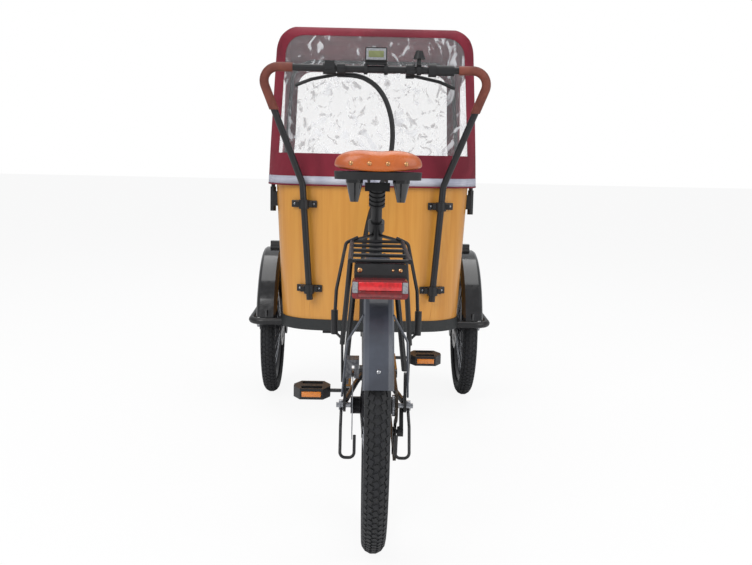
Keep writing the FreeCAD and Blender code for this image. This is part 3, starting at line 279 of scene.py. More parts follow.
class Paintbox:
    """Makes each finish's material once, and puts it on nodes and pieces."""

    DUST_SCALE = 9.0
    DUST_COLOUR: Colour = (0.36, 0.34, 0.31)
    RELIEF = 0.7
    COAT_ROUGH = 0.08
    # Whitish film colour and its alpha range: faint clear film at the low end, painted highlights along the
    # creases at the high end. The highlights start at the crinkle mask value below.
    FILM_AND_HIGHLIGHT_COLOUR: Colour = (0.86, 0.87, 0.90)
    FILM_ALPHA_AND_HIGHLIGHT = (0.07, 0.42)
    FILM_HIGHLIGHT_FROM = 0.7
    FILM_RELIEF = 0.007

    def __init__(self, groups: NodeGroups) -> None:
        """Keep the shared groups.

        Args:
            groups: The effect groups to place in materials.
        """
        self.groups = groups
        self.made: dict[str, bpy.types.Material] = {}

    @staticmethod
    def _mix(tree: bpy.types.NodeTree, factor: bpy.types.NodeSocket, a: Colour | bpy.types.NodeSocket,
             b: Colour) -> bpy.types.NodeSocket:
        """Mix towards a second colour by a mask.

        Args:
            tree: The material's node tree.
            factor: The mask.
            a: The colour or socket where the mask is empty.
            b: The colour where it is full.

        Returns:
            The socket of the mixed colour.
        """
        node = tree.nodes.new("ShaderNodeMix")
        node.data_type = "RGBA"
        tree.links.new(factor, node.inputs[0])
        if isinstance(a, tuple):
            node.inputs[6].default_value = (*a, 1.0)
        else:
            tree.links.new(a, node.inputs[6])
        node.inputs[7].default_value = (*b, 1.0)
        return node.outputs[2]

    def material(self, finish: Finish) -> bpy.types.Material:
        """The material for a finish.

        Args:
            finish: The finish to build.

        Returns:
            A material made once and shared.
        """
        if finish.name in self.made:
            return self.made[finish.name]
        made = bpy.data.materials.new(finish.name)
        made.use_nodes = True
        tree = made.node_tree
        shader = tree.nodes["Principled BSDF"]
        effect = tree.nodes.new("ShaderNodeGroup")
        effect.node_tree = self.groups.groups[finish.effect]
        effect.inputs["Scale"].default_value = finish.scale
        dust = tree.nodes.new("ShaderNodeGroup")
        dust.node_tree = self.groups.dust
        dust.inputs["Scale"].default_value = self.DUST_SCALE
        amount = tree.nodes.new("ShaderNodeMath")
        amount.operation = "MULTIPLY"
        amount.inputs[1].default_value = finish.dust
        tree.links.new(dust.outputs["Mask"], amount.inputs[0])
        base = self._mix(tree, effect.outputs["Mask"], finish.colour, finish.tint)
        dusty = self._mix(tree, amount.outputs[0], base, self.DUST_COLOUR)
        tree.links.new(dusty, shader.inputs["Base Color"])
        rough = tree.nodes.new("ShaderNodeMapRange")
        rough.inputs["To Min"].default_value, rough.inputs["To Max"].default_value = finish.rough
        tree.links.new(effect.outputs["Mask"], rough.inputs["Value"])
        tree.links.new(rough.outputs["Result"], shader.inputs["Roughness"])
        bump = tree.nodes.new("ShaderNodeBump")
        bump.inputs["Distance"].default_value = finish.bump
        bump.inputs["Strength"].default_value = self.RELIEF
        tree.links.new(effect.outputs["Height"], bump.inputs["Height"])
        tree.links.new(bump.outputs["Normal"], shader.inputs["Normal"])
        shader.inputs["Metallic"].default_value = finish.metallic
        shader.inputs["Coat Weight"].default_value = finish.coat
        shader.inputs["Coat Roughness"].default_value = self.COAT_ROUGH
        self.made[finish.name] = made
        return made

    def film(self) -> bpy.types.Material:
        """Build clear vinyl: mostly see-through, with painted highlights along the creases, where the whitish
        film is drawn more opaque.

        Returns:
            The material.
        """
        made = bpy.data.materials.new("clear_film")
        made.use_nodes = True
        tree = made.node_tree
        shader = tree.nodes["Principled BSDF"]
        effect = tree.nodes.new("ShaderNodeGroup")
        effect.node_tree = self.groups.groups[Effect.CRINKLE]
        effect.inputs["Scale"].default_value = 17.0
        shader.inputs["Base Color"].default_value = (*self.FILM_AND_HIGHLIGHT_COLOUR, 1.0)
        shader.inputs["Roughness"].default_value = 0.06
        shader.inputs["Specular IOR Level"].default_value = 0.9
        # Painted highlights: past the crease value, the crinkle mask makes the whitish film more opaque,
        # which stands in for light caught along the creases.
        alpha_and_highlight = tree.nodes.new("ShaderNodeMapRange")
        alpha_and_highlight.inputs["From Min"].default_value = self.FILM_HIGHLIGHT_FROM
        alpha_and_highlight.inputs["To Min"].default_value, alpha_and_highlight.inputs["To Max"].default_value = self.FILM_ALPHA_AND_HIGHLIGHT
        tree.links.new(effect.outputs["Mask"], alpha_and_highlight.inputs["Value"])
        tree.links.new(alpha_and_highlight.outputs["Result"], shader.inputs["Alpha"])
        bump = tree.nodes.new("ShaderNodeBump")
        bump.inputs["Distance"].default_value = self.FILM_RELIEF
        tree.links.new(effect.outputs["Height"], bump.inputs["Height"])
        tree.links.new(bump.outputs["Normal"], shader.inputs["Normal"])
        return made

    def dress(self, finish: Finish, *names: str) -> None:
        """Put a finish on CAD nodes.

        Args:
            finish: The finish.
            names: CAD node names.
        """
        for name in names:
            self.put(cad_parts[name], self.material(finish))

    @staticmethod
    def put(piece: bpy.types.Object, material: bpy.types.Material) -> None:
        """Make a material the only one on an object."""
        piece.data.materials.clear()
        piece.data.materials.append(material)


BLACK = Finish("black_powder_coat", srgb(15, 15, 17), srgb(25, 25, 28), (0.32, 0.46),
               Effect.SPECKLE, scale=420.0, bump=0.0001)
GLOSS_BLACK = Finish("gloss_black", srgb(14, 14, 16), srgb(24, 24, 27), (0.12, 0.22),
                     Effect.SPECKLE, scale=60.0, bump=0.00003, coat=0.6)
PLASTIC = Finish("black_plastic", srgb(14, 14, 16), srgb(24, 24, 27), (0.42, 0.55), Effect.SPECKLE,
                 scale=700.0, bump=0.0001)
TYRE = Finish("tyre_rubber", srgb(18, 19, 22), srgb(30, 31, 35), (0.62, 0.78), Effect.SPECKLE,
              scale=90.0, bump=0.0002)
RIM = Finish("black_rim", srgb(28, 28, 30), srgb(48, 48, 52), (0.28, 0.4), Effect.BRUSHED,
             scale=30.0, bump=0.00005, metallic=0.6)
STEEL = Finish("bright_steel", srgb(172, 174, 178), srgb(132, 134, 140), (0.22, 0.4),
               Effect.BRUSHED, scale=60.0, bump=0.00004, metallic=1.0)
ALLOY = Finish("grey_alloy", srgb(120, 121, 124), srgb(86, 87, 92), (0.32, 0.5), Effect.SPECKLE,
               scale=150.0, bump=0.0001, metallic=0.9)
CHAIN = Finish("oiled_chain", srgb(78, 70, 62), srgb(42, 38, 34), (0.3, 0.5), Effect.SPECKLE,
               scale=260.0, bump=0.0004, metallic=0.8)
SLATE = Finish("slate_fender", srgb(70, 75, 86), srgb(52, 56, 66), (0.3, 0.42), Effect.SPECKLE,
               scale=14.0, bump=0.00003, coat=0.25)
PLYWOOD = Finish("honey_plywood", srgb(211, 149, 62), srgb(200, 134, 47), (0.3, 0.4), Effect.GRAIN,
                 scale=20.0, bump=0.00005, coat=0.35, dust=0.03)
TRAY = Finish("tray_black", srgb(28, 31, 32), srgb(37, 40, 41), (0.5, 0.62), Effect.SPECKLE,
              scale=240.0, bump=0.0002)
FABRIC = Finish("maroon_canvas", srgb(134, 20, 46), srgb(108, 13, 36), (0.68, 0.8), Effect.WEAVE,
                scale=620.0, bump=0.0006, dust=0.02)
BAND = Finish("reflective_band", srgb(205, 206, 216), srgb(168, 170, 188), (0.3, 0.5), Effect.WEAVE,
              scale=500.0, bump=0.0005, metallic=0.25, dust=0.03)
SADDLE = Finish("tan_saddle", srgb(196, 100, 38), srgb(160, 70, 24), (0.26, 0.42), Effect.HIDE,
                scale=420.0, bump=0.0003, coat=0.3, dust=0.0)
GRIP = Finish("brown_grip", srgb(122, 60, 44), srgb(92, 40, 30), (0.5, 0.66), Effect.HIDE,
              scale=520.0, bump=0.0004, dust=0.04)
CUSHION = Finish("dark_cushion", srgb(44, 44, 50), srgb(58, 58, 64), (0.75, 0.88), Effect.WEAVE,
                 scale=480.0, bump=0.0006)
RED_LENS = Finish("red_lens", srgb(214, 26, 34), srgb(176, 14, 22), (0.1, 0.2), Effect.SPECKLE,
                  scale=120.0, bump=0.0003, coat=0.8, dust=0.0)
DARK_LENS = Finish("dark_red_lens", srgb(128, 10, 18), srgb(100, 8, 14), (0.12, 0.2),
                   Effect.SPECKLE, scale=120.0, bump=0.0003, coat=0.8, dust=0.0)
AMBER = Finish("amber_reflector", srgb(232, 140, 36), srgb(196, 100, 18), (0.12, 0.25),
               Effect.SPECKLE, scale=900.0, bump=0.0006, coat=0.8, dust=0.0)
BRASS = Finish("brass_rivet", srgb(214, 168, 120), srgb(170, 120, 76), (0.2, 0.35), Effect.SPECKLE,
               scale=400.0, bump=0.0001, metallic=1.0)
LCD = Finish("display_glass", srgb(126, 132, 92), srgb(112, 118, 82), (0.12, 0.2), Effect.SPECKLE,
             scale=40.0, bump=0.00002, dust=0.0)
BEZEL = Finish("grey_bezel", srgb(150, 152, 156), srgb(120, 122, 126), (0.35, 0.5), Effect.SPECKLE,
               scale=300.0, bump=0.0001)


class Shop:
    """Mesh helpers that every sub-assembly uses."""

    def __init__(self, paints: Paintbox) -> None:
        """Keep the paintbox.

        Args:
            paints: Where materials come from.
        """
        self.paints = paints

    def finish(self, name: str, mesh: bmesh.types.BMesh, finish: Finish, body: str, slot: str,
               smooth: bool = True) -> bpy.types.Object:
        """Turn a bmesh into a named piece on a body.

        Args:
            name: The piece's name.
            mesh: Its mesh, which is freed.
            finish: Its finish.
            body: The CAD body that it rides on.
            slot: A material slot's name; not used.
            smooth: True to shade it smooth.

        Returns:
            The new object.
        """
        bmesh.ops.recalc_face_normals(mesh, faces=mesh.faces)
        data = bpy.data.meshes.new(name)
        mesh.to_mesh(data)
        mesh.free()
        piece = bpy.data.objects.new(name, data)
        bpy.context.scene.collection.objects.link(piece)
        for polygon in data.polygons:
            polygon.use_smooth = smooth
        self.paints.put(piece, self.paints.material(finish))
        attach(piece, body)
        LOG.info("%s: %d faces on %s", name, len(data.polygons), body)
        return piece

    @staticmethod
    def lathe(mesh: bmesh.types.BMesh, profile: list[tuple[float, float]], centre: Vector,
              steps: int) -> None:
        """Turn a closed profile about an X axis.

        Args:
            mesh: The mesh to add to.
            profile: Its (x, r) points.
            centre: Where the axis has x and r of 0.
            steps: Facets round the turn.
        """
        rings = []
        for i in range(steps):
            turn = 2 * math.pi * i / steps
            rings.append([mesh.verts.new(centre + Vector((x, r * math.cos(turn), r * math.sin(turn))))
                          for x, r in profile])
        for i in range(steps):
            a, b = rings[i], rings[(i + 1) % steps]
            for j in range(len(profile)):
                k = (j + 1) % len(profile)
                mesh.faces.new((a[j], b[j], b[k], a[k]))

    @staticmethod
    def brick(mesh: bmesh.types.BMesh, matrix: Matrix, size: Point, bevel: float = 0.0) -> None:
        """Add a box.

        Args:
            mesh: The mesh to add to.
            matrix: Where its middle goes, and its turn.
            size: Its size along each axis.
            bevel: Width of its edges' bevel, or 0 for none.
        """
        made = bmesh.ops.create_cube(mesh, size=1.0, matrix=matrix @ Matrix.Diagonal((*size, 1.0)))
        if bevel:
            edges = {e for v in made["verts"] for e in v.link_edges}
            bmesh.ops.bevel(mesh, geom=list(edges), offset=bevel, segments=2, affect="EDGES", profile=0.6)

    @staticmethod
    def dome(mesh: bmesh.types.BMesh, at: Vector, along: Vector, radius: float, height: float) -> None:
        """Add a low domed head that stands on a surface.

        Args:
            mesh: The mesh to add to.
            at: A point on the surface.
            along: The surface's outward direction.
            radius: The head's radius.
            height: How far it stands out.
        """
        turn = along.to_track_quat("Z", "Y").to_matrix().to_4x4()
        place = Matrix.Translation(at) @ turn @ Matrix.Diagonal((radius, radius, height, 1.0))
        bmesh.ops.create_uvsphere(mesh, u_segments=14, v_segments=8, radius=1.0, matrix=place)

    @staticmethod
    def ribbon(mesh: bmesh.types.BMesh, path: list[Vector], outward: list[Vector],
               section: list[tuple[float, float]]) -> None:
        """Sweep a closed section round a closed path.

        Args:
            mesh: The mesh to add to.
            path: The path's points.
            outward: The outward direction at each point.
            section: The section's (up, out) points.
        """
        rings = [[mesh.verts.new(p + Vector((0, 0, u)) + o * w) for u, w in section]
                 for p, o in zip(path, outward)]
        for i in range(len(rings)):
            a, b = rings[i], rings[(i + 1) % len(rings)]
            for j in range(len(section)):
                k = (j + 1) % len(section)
                mesh.faces.new((a[j], b[j], b[k], a[k]))


@dataclass
class Tyre:
    """A tyre with a carcass and rows of tread blocks up to the outer radius.

    Attributes:
        shop: The mesh helpers.
        node: The CAD tyre that it stands for.
        body: The wheel's body.
        blocks: Tread blocks round one row.
        groove: Depth of the tread.
        rows: Angle of each row across the crown.
        tread_edge: Angle from the crown to where the grooves end.
        bead: Height of the bead above the tyre's inner radius.
        facets: Facets across the carcass, and round the wheel.
        skew: Turn of each block.
        sink: How far a block's top lies under the outer radius.
        block: Width as a share of the crown, and length as a share of the pitch.
    """

    shop: Shop
    node: str
    body: str
    blocks: int = 96
    groove: float = 0.0024
    rows: tuple[float, ...] = (-0.95, -0.48, 0.0, 0.48, 0.95)
    tread_edge: float = 1.25
    bead: float = 0.008
    facets: tuple[int, int] = (26, 180)
    skew: float = 0.35
    sink: float = 0.0004
    block: tuple[float, float] = (0.36, 0.66)

    def build(self) -> bpy.types.Object:
        """Build the carcass and the tread, and replace the CAD tyre.

        Returns:
            The new tyre.
        """
        low, high = (Vector(c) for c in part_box(self.node))
        centre = (low + high) / 2
        radius = (high.z - low.z) / 2
        crown = (high.x - low.x) / 2
        ring = radius - crown
        seat = radius - 2 * crown + self.bead
        mesh = bmesh.new()
        lean = math.acos((ring - seat) / crown)
        steps, turns = self.facets
        profile = []
        for i in range(steps + 1):
            a = math.pi / 2 + (math.pi - lean) * (1 - 2 * i / steps)
            size = crown - (self.groove if abs(a - math.pi / 2) < self.tread_edge else 0.0)
            profile.append((size * math.cos(a), ring + size * math.sin(a)))
        self.shop.lathe(mesh, profile, centre, turns)
        for row, spread in enumerate(self.rows):
            for i in range(self.blocks):
                turn = 2 * math.pi * (i + (0.5 if row % 2 else 0.0)) / self.blocks
                self._block(mesh, centre, ring, crown, turn, spread)
        piece = self.shop.finish(self.node + "_tread", mesh, TYRE, self.body, "tyre", smooth=False)
        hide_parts(self.node)
        return piece

    def _block(self, mesh: bmesh.types.BMesh, centre: Vector, ring: float, crown: float, turn: float,
               spread: float) -> None:
        """Add one tread block.

        Args:
            mesh: The mesh to add to.
            centre: The wheel's centre.
            ring: Radius of the circle at the middle of the tyre's section.
            crown: Radius of the section.
            turn: Angle round the wheel.
            spread: Angle across the crown.
        """
        size = crown - self.groove / 2 - self.sink
        around = Matrix.Rotation(turn, 4, "X")
        across = Matrix.Translation((size * math.sin(spread), ring + size * math.cos(spread), 0))
        skew = Matrix.Rotation(self.skew * (1 if spread >= 0 else -1), 4, "Y")
        matrix = Matrix.Translation(centre) @ around @ across @ Matrix.Rotation(-spread, 4, "Z") @ skew
        pitch = 2 * math.pi * (ring + crown) / self.blocks
        wide, long = self.block
        self.shop.brick(mesh, matrix, (crown * wide, self.groove, pitch * long))


@dataclass
class BoxTrim:
    """The plates that hold the handlebar's posts to the rear panel, and their screws.

    Attributes:
        shop: The mesh helpers.
        plate: A plate's size.
        plate_bevel: Bevel of its edges.
        plate_gap: Distance between a plate and the panel.
        places: Height and sideways distance of the lower and the upper plates.
        bow: Radius of the panel's bow.
        screw_radius: Radius of a screw's head.
        screw_height: How far a head stands out.
        screw_reach: Distance of a screw from the plate's middle.
    """

    shop: Shop
    plate: Point = (0.088, 0.006, 0.024)
    plate_bevel: float = 0.0022
    plate_gap: float = 0.0012
    places: tuple[tuple[float, float], ...] = ((0.460, 0.2086), (0.745, 0.2292))
    bow: float = 1.06
    screw_radius: float = 0.0042
    screw_height: float = 0.0024
    screw_reach: float = 0.033

    def build(self) -> None:
        """Add the plates against the wall, with a screw near each end."""
        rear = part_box("box_rear_panel")[0][1]
        plates, screws = bmesh.new(), bmesh.new()
        for side in (-1, 1):
            for z, x in self.places:
                lean = math.asin(x / self.bow)
                wall = rear + self.bow * (1 - math.cos(lean))
                turn = Matrix.Rotation(side * lean, 4, "Z")
                middle = (side * x, wall - self.plate[1] / 2 - self.plate_gap, z)
                place = Matrix.Translation(middle) @ turn
                self.shop.brick(plates, place, self.plate, self.plate_bevel)
                for off in (-self.screw_reach, self.screw_reach):
                    at = place @ Vector((off, -self.plate[1] / 2, 0))
                    away = turn @ Vector((0, -1, 0))
                    self.shop.dome(screws, at, away, self.screw_radius, self.screw_height)
        self.shop.finish("bracket_plates", plates, BLACK, "front_assembly", "black_frame")
        self.shop.finish("bracket_screws", screws, STEEL, "front_assembly", "steel")


@dataclass
class CanopyTrim:
    """The canopy's reflective band and hem piping.

    Attributes:
        shop: The mesh helpers.
        half: Half the hem's width.
        corner: Plan corner radius at the hem.
        bulge: Radius of the bowed front and rear.
        band_low: Height of the band's lower edge.
        band_high: Height of its upper edge.
        lean: How far each side leans in over the canopy's rise.
        rise: The canopy's height.
        steps: Points on each bow and on each corner.
        hem_up: Height of the piping's path above the hem.
    """

    shop: Shop
    half: float = 0.361
    corner: float = 0.149
    bulge: float = 1.060
    band_low: float = 0.811
    band_high: float = 0.838
    lean: float = 0.038
    rise: float = 0.534
    steps: int = 14
    hem_up: float = 0.002

    def outline(self, z: float, out: float) -> tuple[list[Vector], list[Vector]]:
        """Points round the hem at a height, with their outward directions.

        Args:
            z: Height.
            out: Distance outside the cloth.

        Returns:
            The points, and a unit outward vector at each.
        """
        low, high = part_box("canopy")
        half = self.half - self.lean * (z - low[2]) / self.rise
        rear, front = low[1], high[1]
        cx = self.half - self.corner
        dip = math.sqrt((self.bulge - self.corner) ** 2 - cx ** 2)
        quarter: list[tuple[Vector, Vector]] = []
        reach = math.asin(cx / (self.bulge - self.corner))
        for i in range(self.steps):
            a = reach * i / self.steps
            quarter.append((Vector((self.bulge * math.sin(a), self.bulge - self.bulge * math.cos(a), 0)),
                            Vector((math.sin(a), -math.cos(a), 0))))
        for i in range(self.steps):
            a = reach + (math.pi / 2 - reach) * i / (self.steps - 1)
            corner = Vector((cx + self.corner * math.sin(a), self.bulge - dip - self.corner * math.cos(a), 0))
            quarter.append((corner, Vector((math.sin(a), -math.cos(a), 0))))
        points: list[Vector] = []
        normals: list[Vector] = []
        for end, sx, sy, order in ((rear, 1, 1, 1), (front, 1, -1, -1),
                                   (front, -1, -1, 1), (rear, -1, 1, -1)):
            for p, n in quarter[::order]:
                x = min(p.x, half)
                points.append(Vector((sx * (x + n.x * out), end + sy * (p.y + n.y * out), z)))
                normals.append(Vector((sx * n.x, sy * n.y, 0)))
        return points, normals

    def build(self) -> None:
        """Add the band and the hem piping."""
        mesh = bmesh.new()
        path, outward = self.outline(self.band_low, 0.0)
        tall = self.band_high - self.band_low
        band = [(0, -0.001), (0, 0.0012), (tall, 0.0004), (tall, -0.003)]
        self.shop.ribbon(mesh, path, outward, band)
        self.shop.finish("reflective_band", mesh, BAND, "front_assembly", "canopy_fabric")
        mesh = bmesh.new()
        path, outward = self.outline(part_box("canopy")[0][2] + self.hem_up, 0.0)
        piping = [(-0.0018, -0.002), (-0.0018, 0.0016), (0.003, 0.002), (0.003, -0.002)]
        self.shop.ribbon(mesh, path, outward, piping)
        self.shop.finish("hem_piping", mesh, FABRIC, "front_assembly", "canopy_fabric")


@dataclass
class Saddle:
    """The padded leather saddle with its rivets.

    Attributes:
        shop: The mesh helpers.
        half_widths: Half the saddle's width, as a share, at each share of its length.
        arc: Facets across the saddle.
        groove: Depth and half-width of the hollow along its middle.
        rivets: Sideways place of each rivet.
        rivet_rise: Height of the rivets above the cover's lower edge.
        rivet_head: Radius and height of a rivet's head.
        rivet_button: Radius and height of the button on it.
        button_up: Distance of the button from the leather.
    """

    shop: Shop
    half_widths: tuple[tuple[float, float], ...] = (
        (0.0, 0.42), (0.03, 0.72), (0.09, 0.92), (0.17, 1.0), (0.27, 0.97), (0.38, 0.82), (0.50, 0.58),
        (0.62, 0.38), (0.74, 0.28), (0.86, 0.23), (0.95, 0.17), (1.0, 0.06))
    arc: int = 16
    groove: tuple[float, float] = (0.005, 0.016)
    rivets: tuple[float, ...] = (-0.066, -0.022, 0.022, 0.066)
    rivet_rise: float = 0.020
    rivet_head: tuple[float, float] = (0.0058, 0.0030)
    rivet_button: tuple[float, float] = (0.0026, 0.0016)
    button_up: float = 0.0024

    def build(self) -> None:
        """Build the cover and rivets, and replace the CAD cover."""
        low, high = (Vector(c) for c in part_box("saddle_cover"))
        piece = self._cover(low, high)
        mesh = bmesh.new()
        shaped = piece.evaluated_get(bpy.context.evaluated_depsgraph_get())
        for x in self.rivets:
            start = Vector((x, low.y - 0.05, low.z + self.rivet_rise))
            hit, at, normal, _ = shaped.ray_cast(start, Vector((0, 1, 0)))
            if hit:
                self.shop.dome(mesh, at, normal, *self.rivet_head)
                self.shop.dome(mesh, at + normal * self.button_up, normal, *self.rivet_button)
        self.shop.finish("saddle_rivets", mesh, BRASS, "rear_frame", "steel")

    def _cover(self, low: Vector, high: Vector) -> bpy.types.Object:
        """Build the leather cover.

        Args:
            low: Lower corner of the CAD cover's box.
            high: Its upper corner.

        Returns:
            The cover, which replaces the CAD one.
        """
        half, length, tall = (high.x - low.x) / 2, high.y - low.y, high.z - low.z
        mesh = bmesh.new()
        rings = []
        arc = self.arc
        depth, spread = self.groove
        for share, width in self.half_widths:
            y = low.y + length * share
            crown = tall * (0.97 - 0.20 * share + 0.06 * math.cos(share * 2 * math.pi))
            ring = []
            for i in range(arc + 1):
                a = math.pi * i / arc
                x = half * width * math.copysign(abs(math.cos(a)) ** 0.62, math.cos(a))
                z = low.z + crown * abs(math.sin(a)) ** 0.55 * (0.55 + 0.45 * min(1.0, share * 9 + 0.35))
                dip = depth * math.exp(-(x / spread) ** 2) * (1 if i not in (0, arc) else 0)
                ring.append(mesh.verts.new((x, y, z - dip)))
            rings.append(ring)
        for a, b in zip(rings, rings[1:]):
            for i in range(arc):
                mesh.faces.new((a[i], a[i + 1], b[i + 1], b[i]))
            mesh.faces.new((a[0], b[0], b[arc], a[arc]))
        mesh.faces.new(rings[0])
        mesh.faces.new(rings[-1][::-1])
        piece = self.shop.finish("saddle_leather", mesh, SADDLE, "rear_frame", "tan_leather")
        smooth = piece.modifiers.new("round", "SUBSURF")
        smooth.levels = smooth.render_levels = 2
        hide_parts("saddle_cover")
        return piece


@dataclass
class BenchCushion:
    """The crowned cushion on the bench, with sewn channels.

    Attributes:
        shop: The mesh helpers.
        channels: Sewn channels along the bench.
        grid: Facets along the bench and across it.
        side_gap: Distance from each side of the CAD block.
        rear_gap: Distance from its rear.
        both_gaps: The rear and the front distances together.
        edge_height: Thickness at the cushion's edge.
    """

    shop: Shop
    channels: int = 4
    grid: tuple[int, int] = (64, 28)
    side_gap: float = 0.012
    rear_gap: float = 0.036
    both_gaps: float = 0.040
    edge_height: float = 0.012

    def build(self) -> None:
        """Build the cushion and replace the CAD block."""
        low, high = (Vector(c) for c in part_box("bench_cushion"))
        mesh = bmesh.new()
        nx, ny = self.grid
        top, base = [], []
        for i in range(nx + 1):
            for j in range(ny + 1):
                u, v = i / nx, j / ny
                x = low.x + self.side_gap + (high.x - low.x - 2 * self.side_gap) * u
                y = low.y + self.rear_gap + (high.y - low.y - self.both_gaps) * v
                edge = min(1.0, 16 * min(u, 1 - u)) ** 0.5 * min(1.0, 8 * min(v, 1 - v)) ** 0.5
                seam = 1.0 - 0.22 * math.exp(-((u * self.channels % 1.0 - 0.5) * 14) ** 2)
                z = low.z + self.edge_height + (high.z - low.z - self.edge_height) * edge * seam
                top.append(mesh.verts.new((x, y, z)))
                base.append(mesh.verts.new((x, y, low.z + 0.0005)))

        def index(i: int, j: int) -> int:
            """Place of a grid point in both lists."""
            return i * (ny + 1) + j

        for i in range(nx):
            for j in range(ny):
                quad = [index(i, j), index(i + 1, j), index(i + 1, j + 1), index(i, j + 1)]
                mesh.faces.new([top[q] for q in quad])
                mesh.faces.new([base[q] for q in quad[::-1]])
        rim = [index(i, 0) for i in range(nx + 1)] + [index(nx, j) for j in range(1, ny + 1)]
        rim += [index(i, ny) for i in range(nx - 1, -1, -1)] + [index(0, j) for j in range(ny - 1, 0, -1)]
        for a, b in zip(rim, rim[1:] + rim[:1]):
            mesh.faces.new((base[a], base[b], top[b], top[a]))
        piece = self.shop.finish("bench_pad", mesh, CUSHION, "front_assembly", "cushion")
        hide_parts("bench_cushion")


@dataclass
class RearDetails:
    """The tail light's lenses, the end housing's lock, the fender's rivet and the pedals' reflectors.

    Attributes:
        shop: The mesh helpers.
        lens_width: Width of both lenses.
        end_size: Size of the grey block at each end of the light.
        end_reach: Its distance from the middle.
        studs: Sideways place and radius of the lock and the screws beside it.
        stud_drop: Their distance from the housing's top.
        rivet_turn: Angle of the rivet round the wheel.
        wheel_height: Height of the rear axle.
        fender_radius: Outer radius of the fender.
        reflector: A reflector's size.
        proud: How far a flat piece stands out.
    """

    shop: Shop
    lens_width: float = 0.086
    end_size: Point = (0.011, 0.006, 0.022)
    end_reach: float = 0.0495
    studs: tuple[tuple[float, float], ...] = ((-0.041, 0.0055), (0.026, 0.003), (0.041, 0.0045))
    stud_drop: float = 0.013
    rivet_turn: float = math.radians(154)
    wheel_height: float = 0.3335
    fender_radius: float = 0.352
    reflector: Point = (0.050, 0.004, 0.014)
    proud: float = 0.0002

    def build(self) -> None:
        """Add each small piece."""
        self._tail_light()
        self._housing_lock()
        self._fender_rivet()
        for side in ("left", "right"):
            self._reflectors(side)

    def _tail_light(self) -> None:
        """Add the two lenses and the light's grey ends."""
        low, high = (Vector(c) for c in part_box("tail_light"))
        mid = (low.z + high.z) / 2
        for name, z0, z1, finish in (("upper_lens", mid - 0.002, high.z - 0.004, RED_LENS),
                                     ("lower_lens", low.z + 0.004, mid - 0.003, DARK_LENS)):
            mesh = bmesh.new()
            centre = Vector((0, low.y - 0.0005, (z0 + z1) / 2))
            self.shop.brick(mesh, Matrix.Translation(centre), (self.lens_width, 0.006, z1 - z0), 0.002)
            self.shop.finish(name, mesh, finish, "rear_frame", "red_lens")
        mesh = bmesh.new()
        for side in (-1, 1):
            centre = Vector((side * self.end_reach, low.y - self.proud, mid + 0.004))
            self.shop.brick(mesh, Matrix.Translation(centre), self.end_size, 0.002)
        self.shop.finish("light_ends", mesh, BEZEL, "rear_frame", "black_plastic")

    def _housing_lock(self) -> None:
        """Add the lock and screws on the rack's end housing."""
        low, high = (Vector(c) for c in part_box("rack_end_housing"))
        mesh = bmesh.new()
        for x, radius in self.studs:
            at = Vector((x, low.y, high.z - self.stud_drop))
            self.shop.dome(mesh, at, Vector((0, -1, 0)), radius, 0.003)
        self.shop.finish("housing_lock", mesh, BRASS, "rear_frame", "steel")

    def _fender_rivet(self) -> None:
        """Add the rivet on the rear fender."""
        mesh = bmesh.new()
        axle = (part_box("rear_tyre")[0][1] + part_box("rear_tyre")[1][1]) / 2
        out = Vector((0, math.cos(self.rivet_turn), math.sin(self.rivet_turn)))
        at = Vector((0, axle, self.wheel_height)) + out * self.fender_radius
        self.shop.dome(mesh, at, out, 0.005, 0.0028)
        self.shop.finish("fender_rivet", mesh, STEEL, "rear_frame", "steel")

    def _reflectors(self, side: str) -> None:
        """Add a pedal's two reflectors.

        Args:
            side: left or right.
        """
        low, high = (Vector(c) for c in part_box("pedal_" + side))
        mesh = bmesh.new()
        for y in (low.y - self.proud, high.y + self.proud):
            centre = Vector(((low.x + high.x) / 2, y, (low.z + high.z) / 2))
            self.shop.brick(mesh, Matrix.Translation(centre), self.reflector, 0.001)
        self.shop.finish("reflectors_" + side, mesh, AMBER, side + "_pedal", "black_plastic")


@dataclass
class CableLoom:
    """The cable loom from the left brake lever down to the tray.

    Attributes:
        shop: The mesh helpers.
        radius: Half its thickness.
        route: The points that it follows, in metres.
    """

    shop: Shop
    radius: float = 0.008
    route: tuple[Point, ...] = (
        (-0.096, 0.147, 1.163), (-0.056, 0.147, 1.163), (-0.010, 0.148, 1.142), (0.022, 0.150, 1.110),
        (0.044, 0.153, 1.066), (0.057, 0.157, 1.016), (0.060, 0.161, 0.962), (0.054, 0.166, 0.908),
        (0.040, 0.172, 0.854), (0.020, 0.180, 0.800), (0.000, 0.190, 0.748), (-0.014, 0.200, 0.694),
        (-0.023, 0.208, 0.640), (-0.028, 0.214, 0.584), (-0.030, 0.218, 0.527), (-0.030, 0.221, 0.471),
        (-0.030, 0.222, 0.412), (-0.030, 0.222, 0.353))

    def build(self) -> None:
        data = bpy.data.curves.new("cable_loom_sleeve", "CURVE")
        data.dimensions = "3D"
        data.bevel_depth = self.radius
        data.bevel_resolution = 5
        data.use_fill_caps = True
        spline = data.splines.new("NURBS")
        spline.points.add(len(self.route) - 1)
        for point, place in zip(spline.points, self.route):
            point.co = (*place, 1.0)
        spline.order_u = 3
        spline.use_endpoint_u = True
        spline.resolution_u = 10
        piece = bpy.data.objects.new("cable_loom_sleeve", data)
        bpy.context.scene.collection.objects.link(piece)
        self.shop.paints.put(piece, self.shop.paints.material(PLASTIC))
        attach(piece, "front_assembly")
        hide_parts("cable_loom")
        LOG.info("cable_loom_sleeve: one curve on front_assembly")


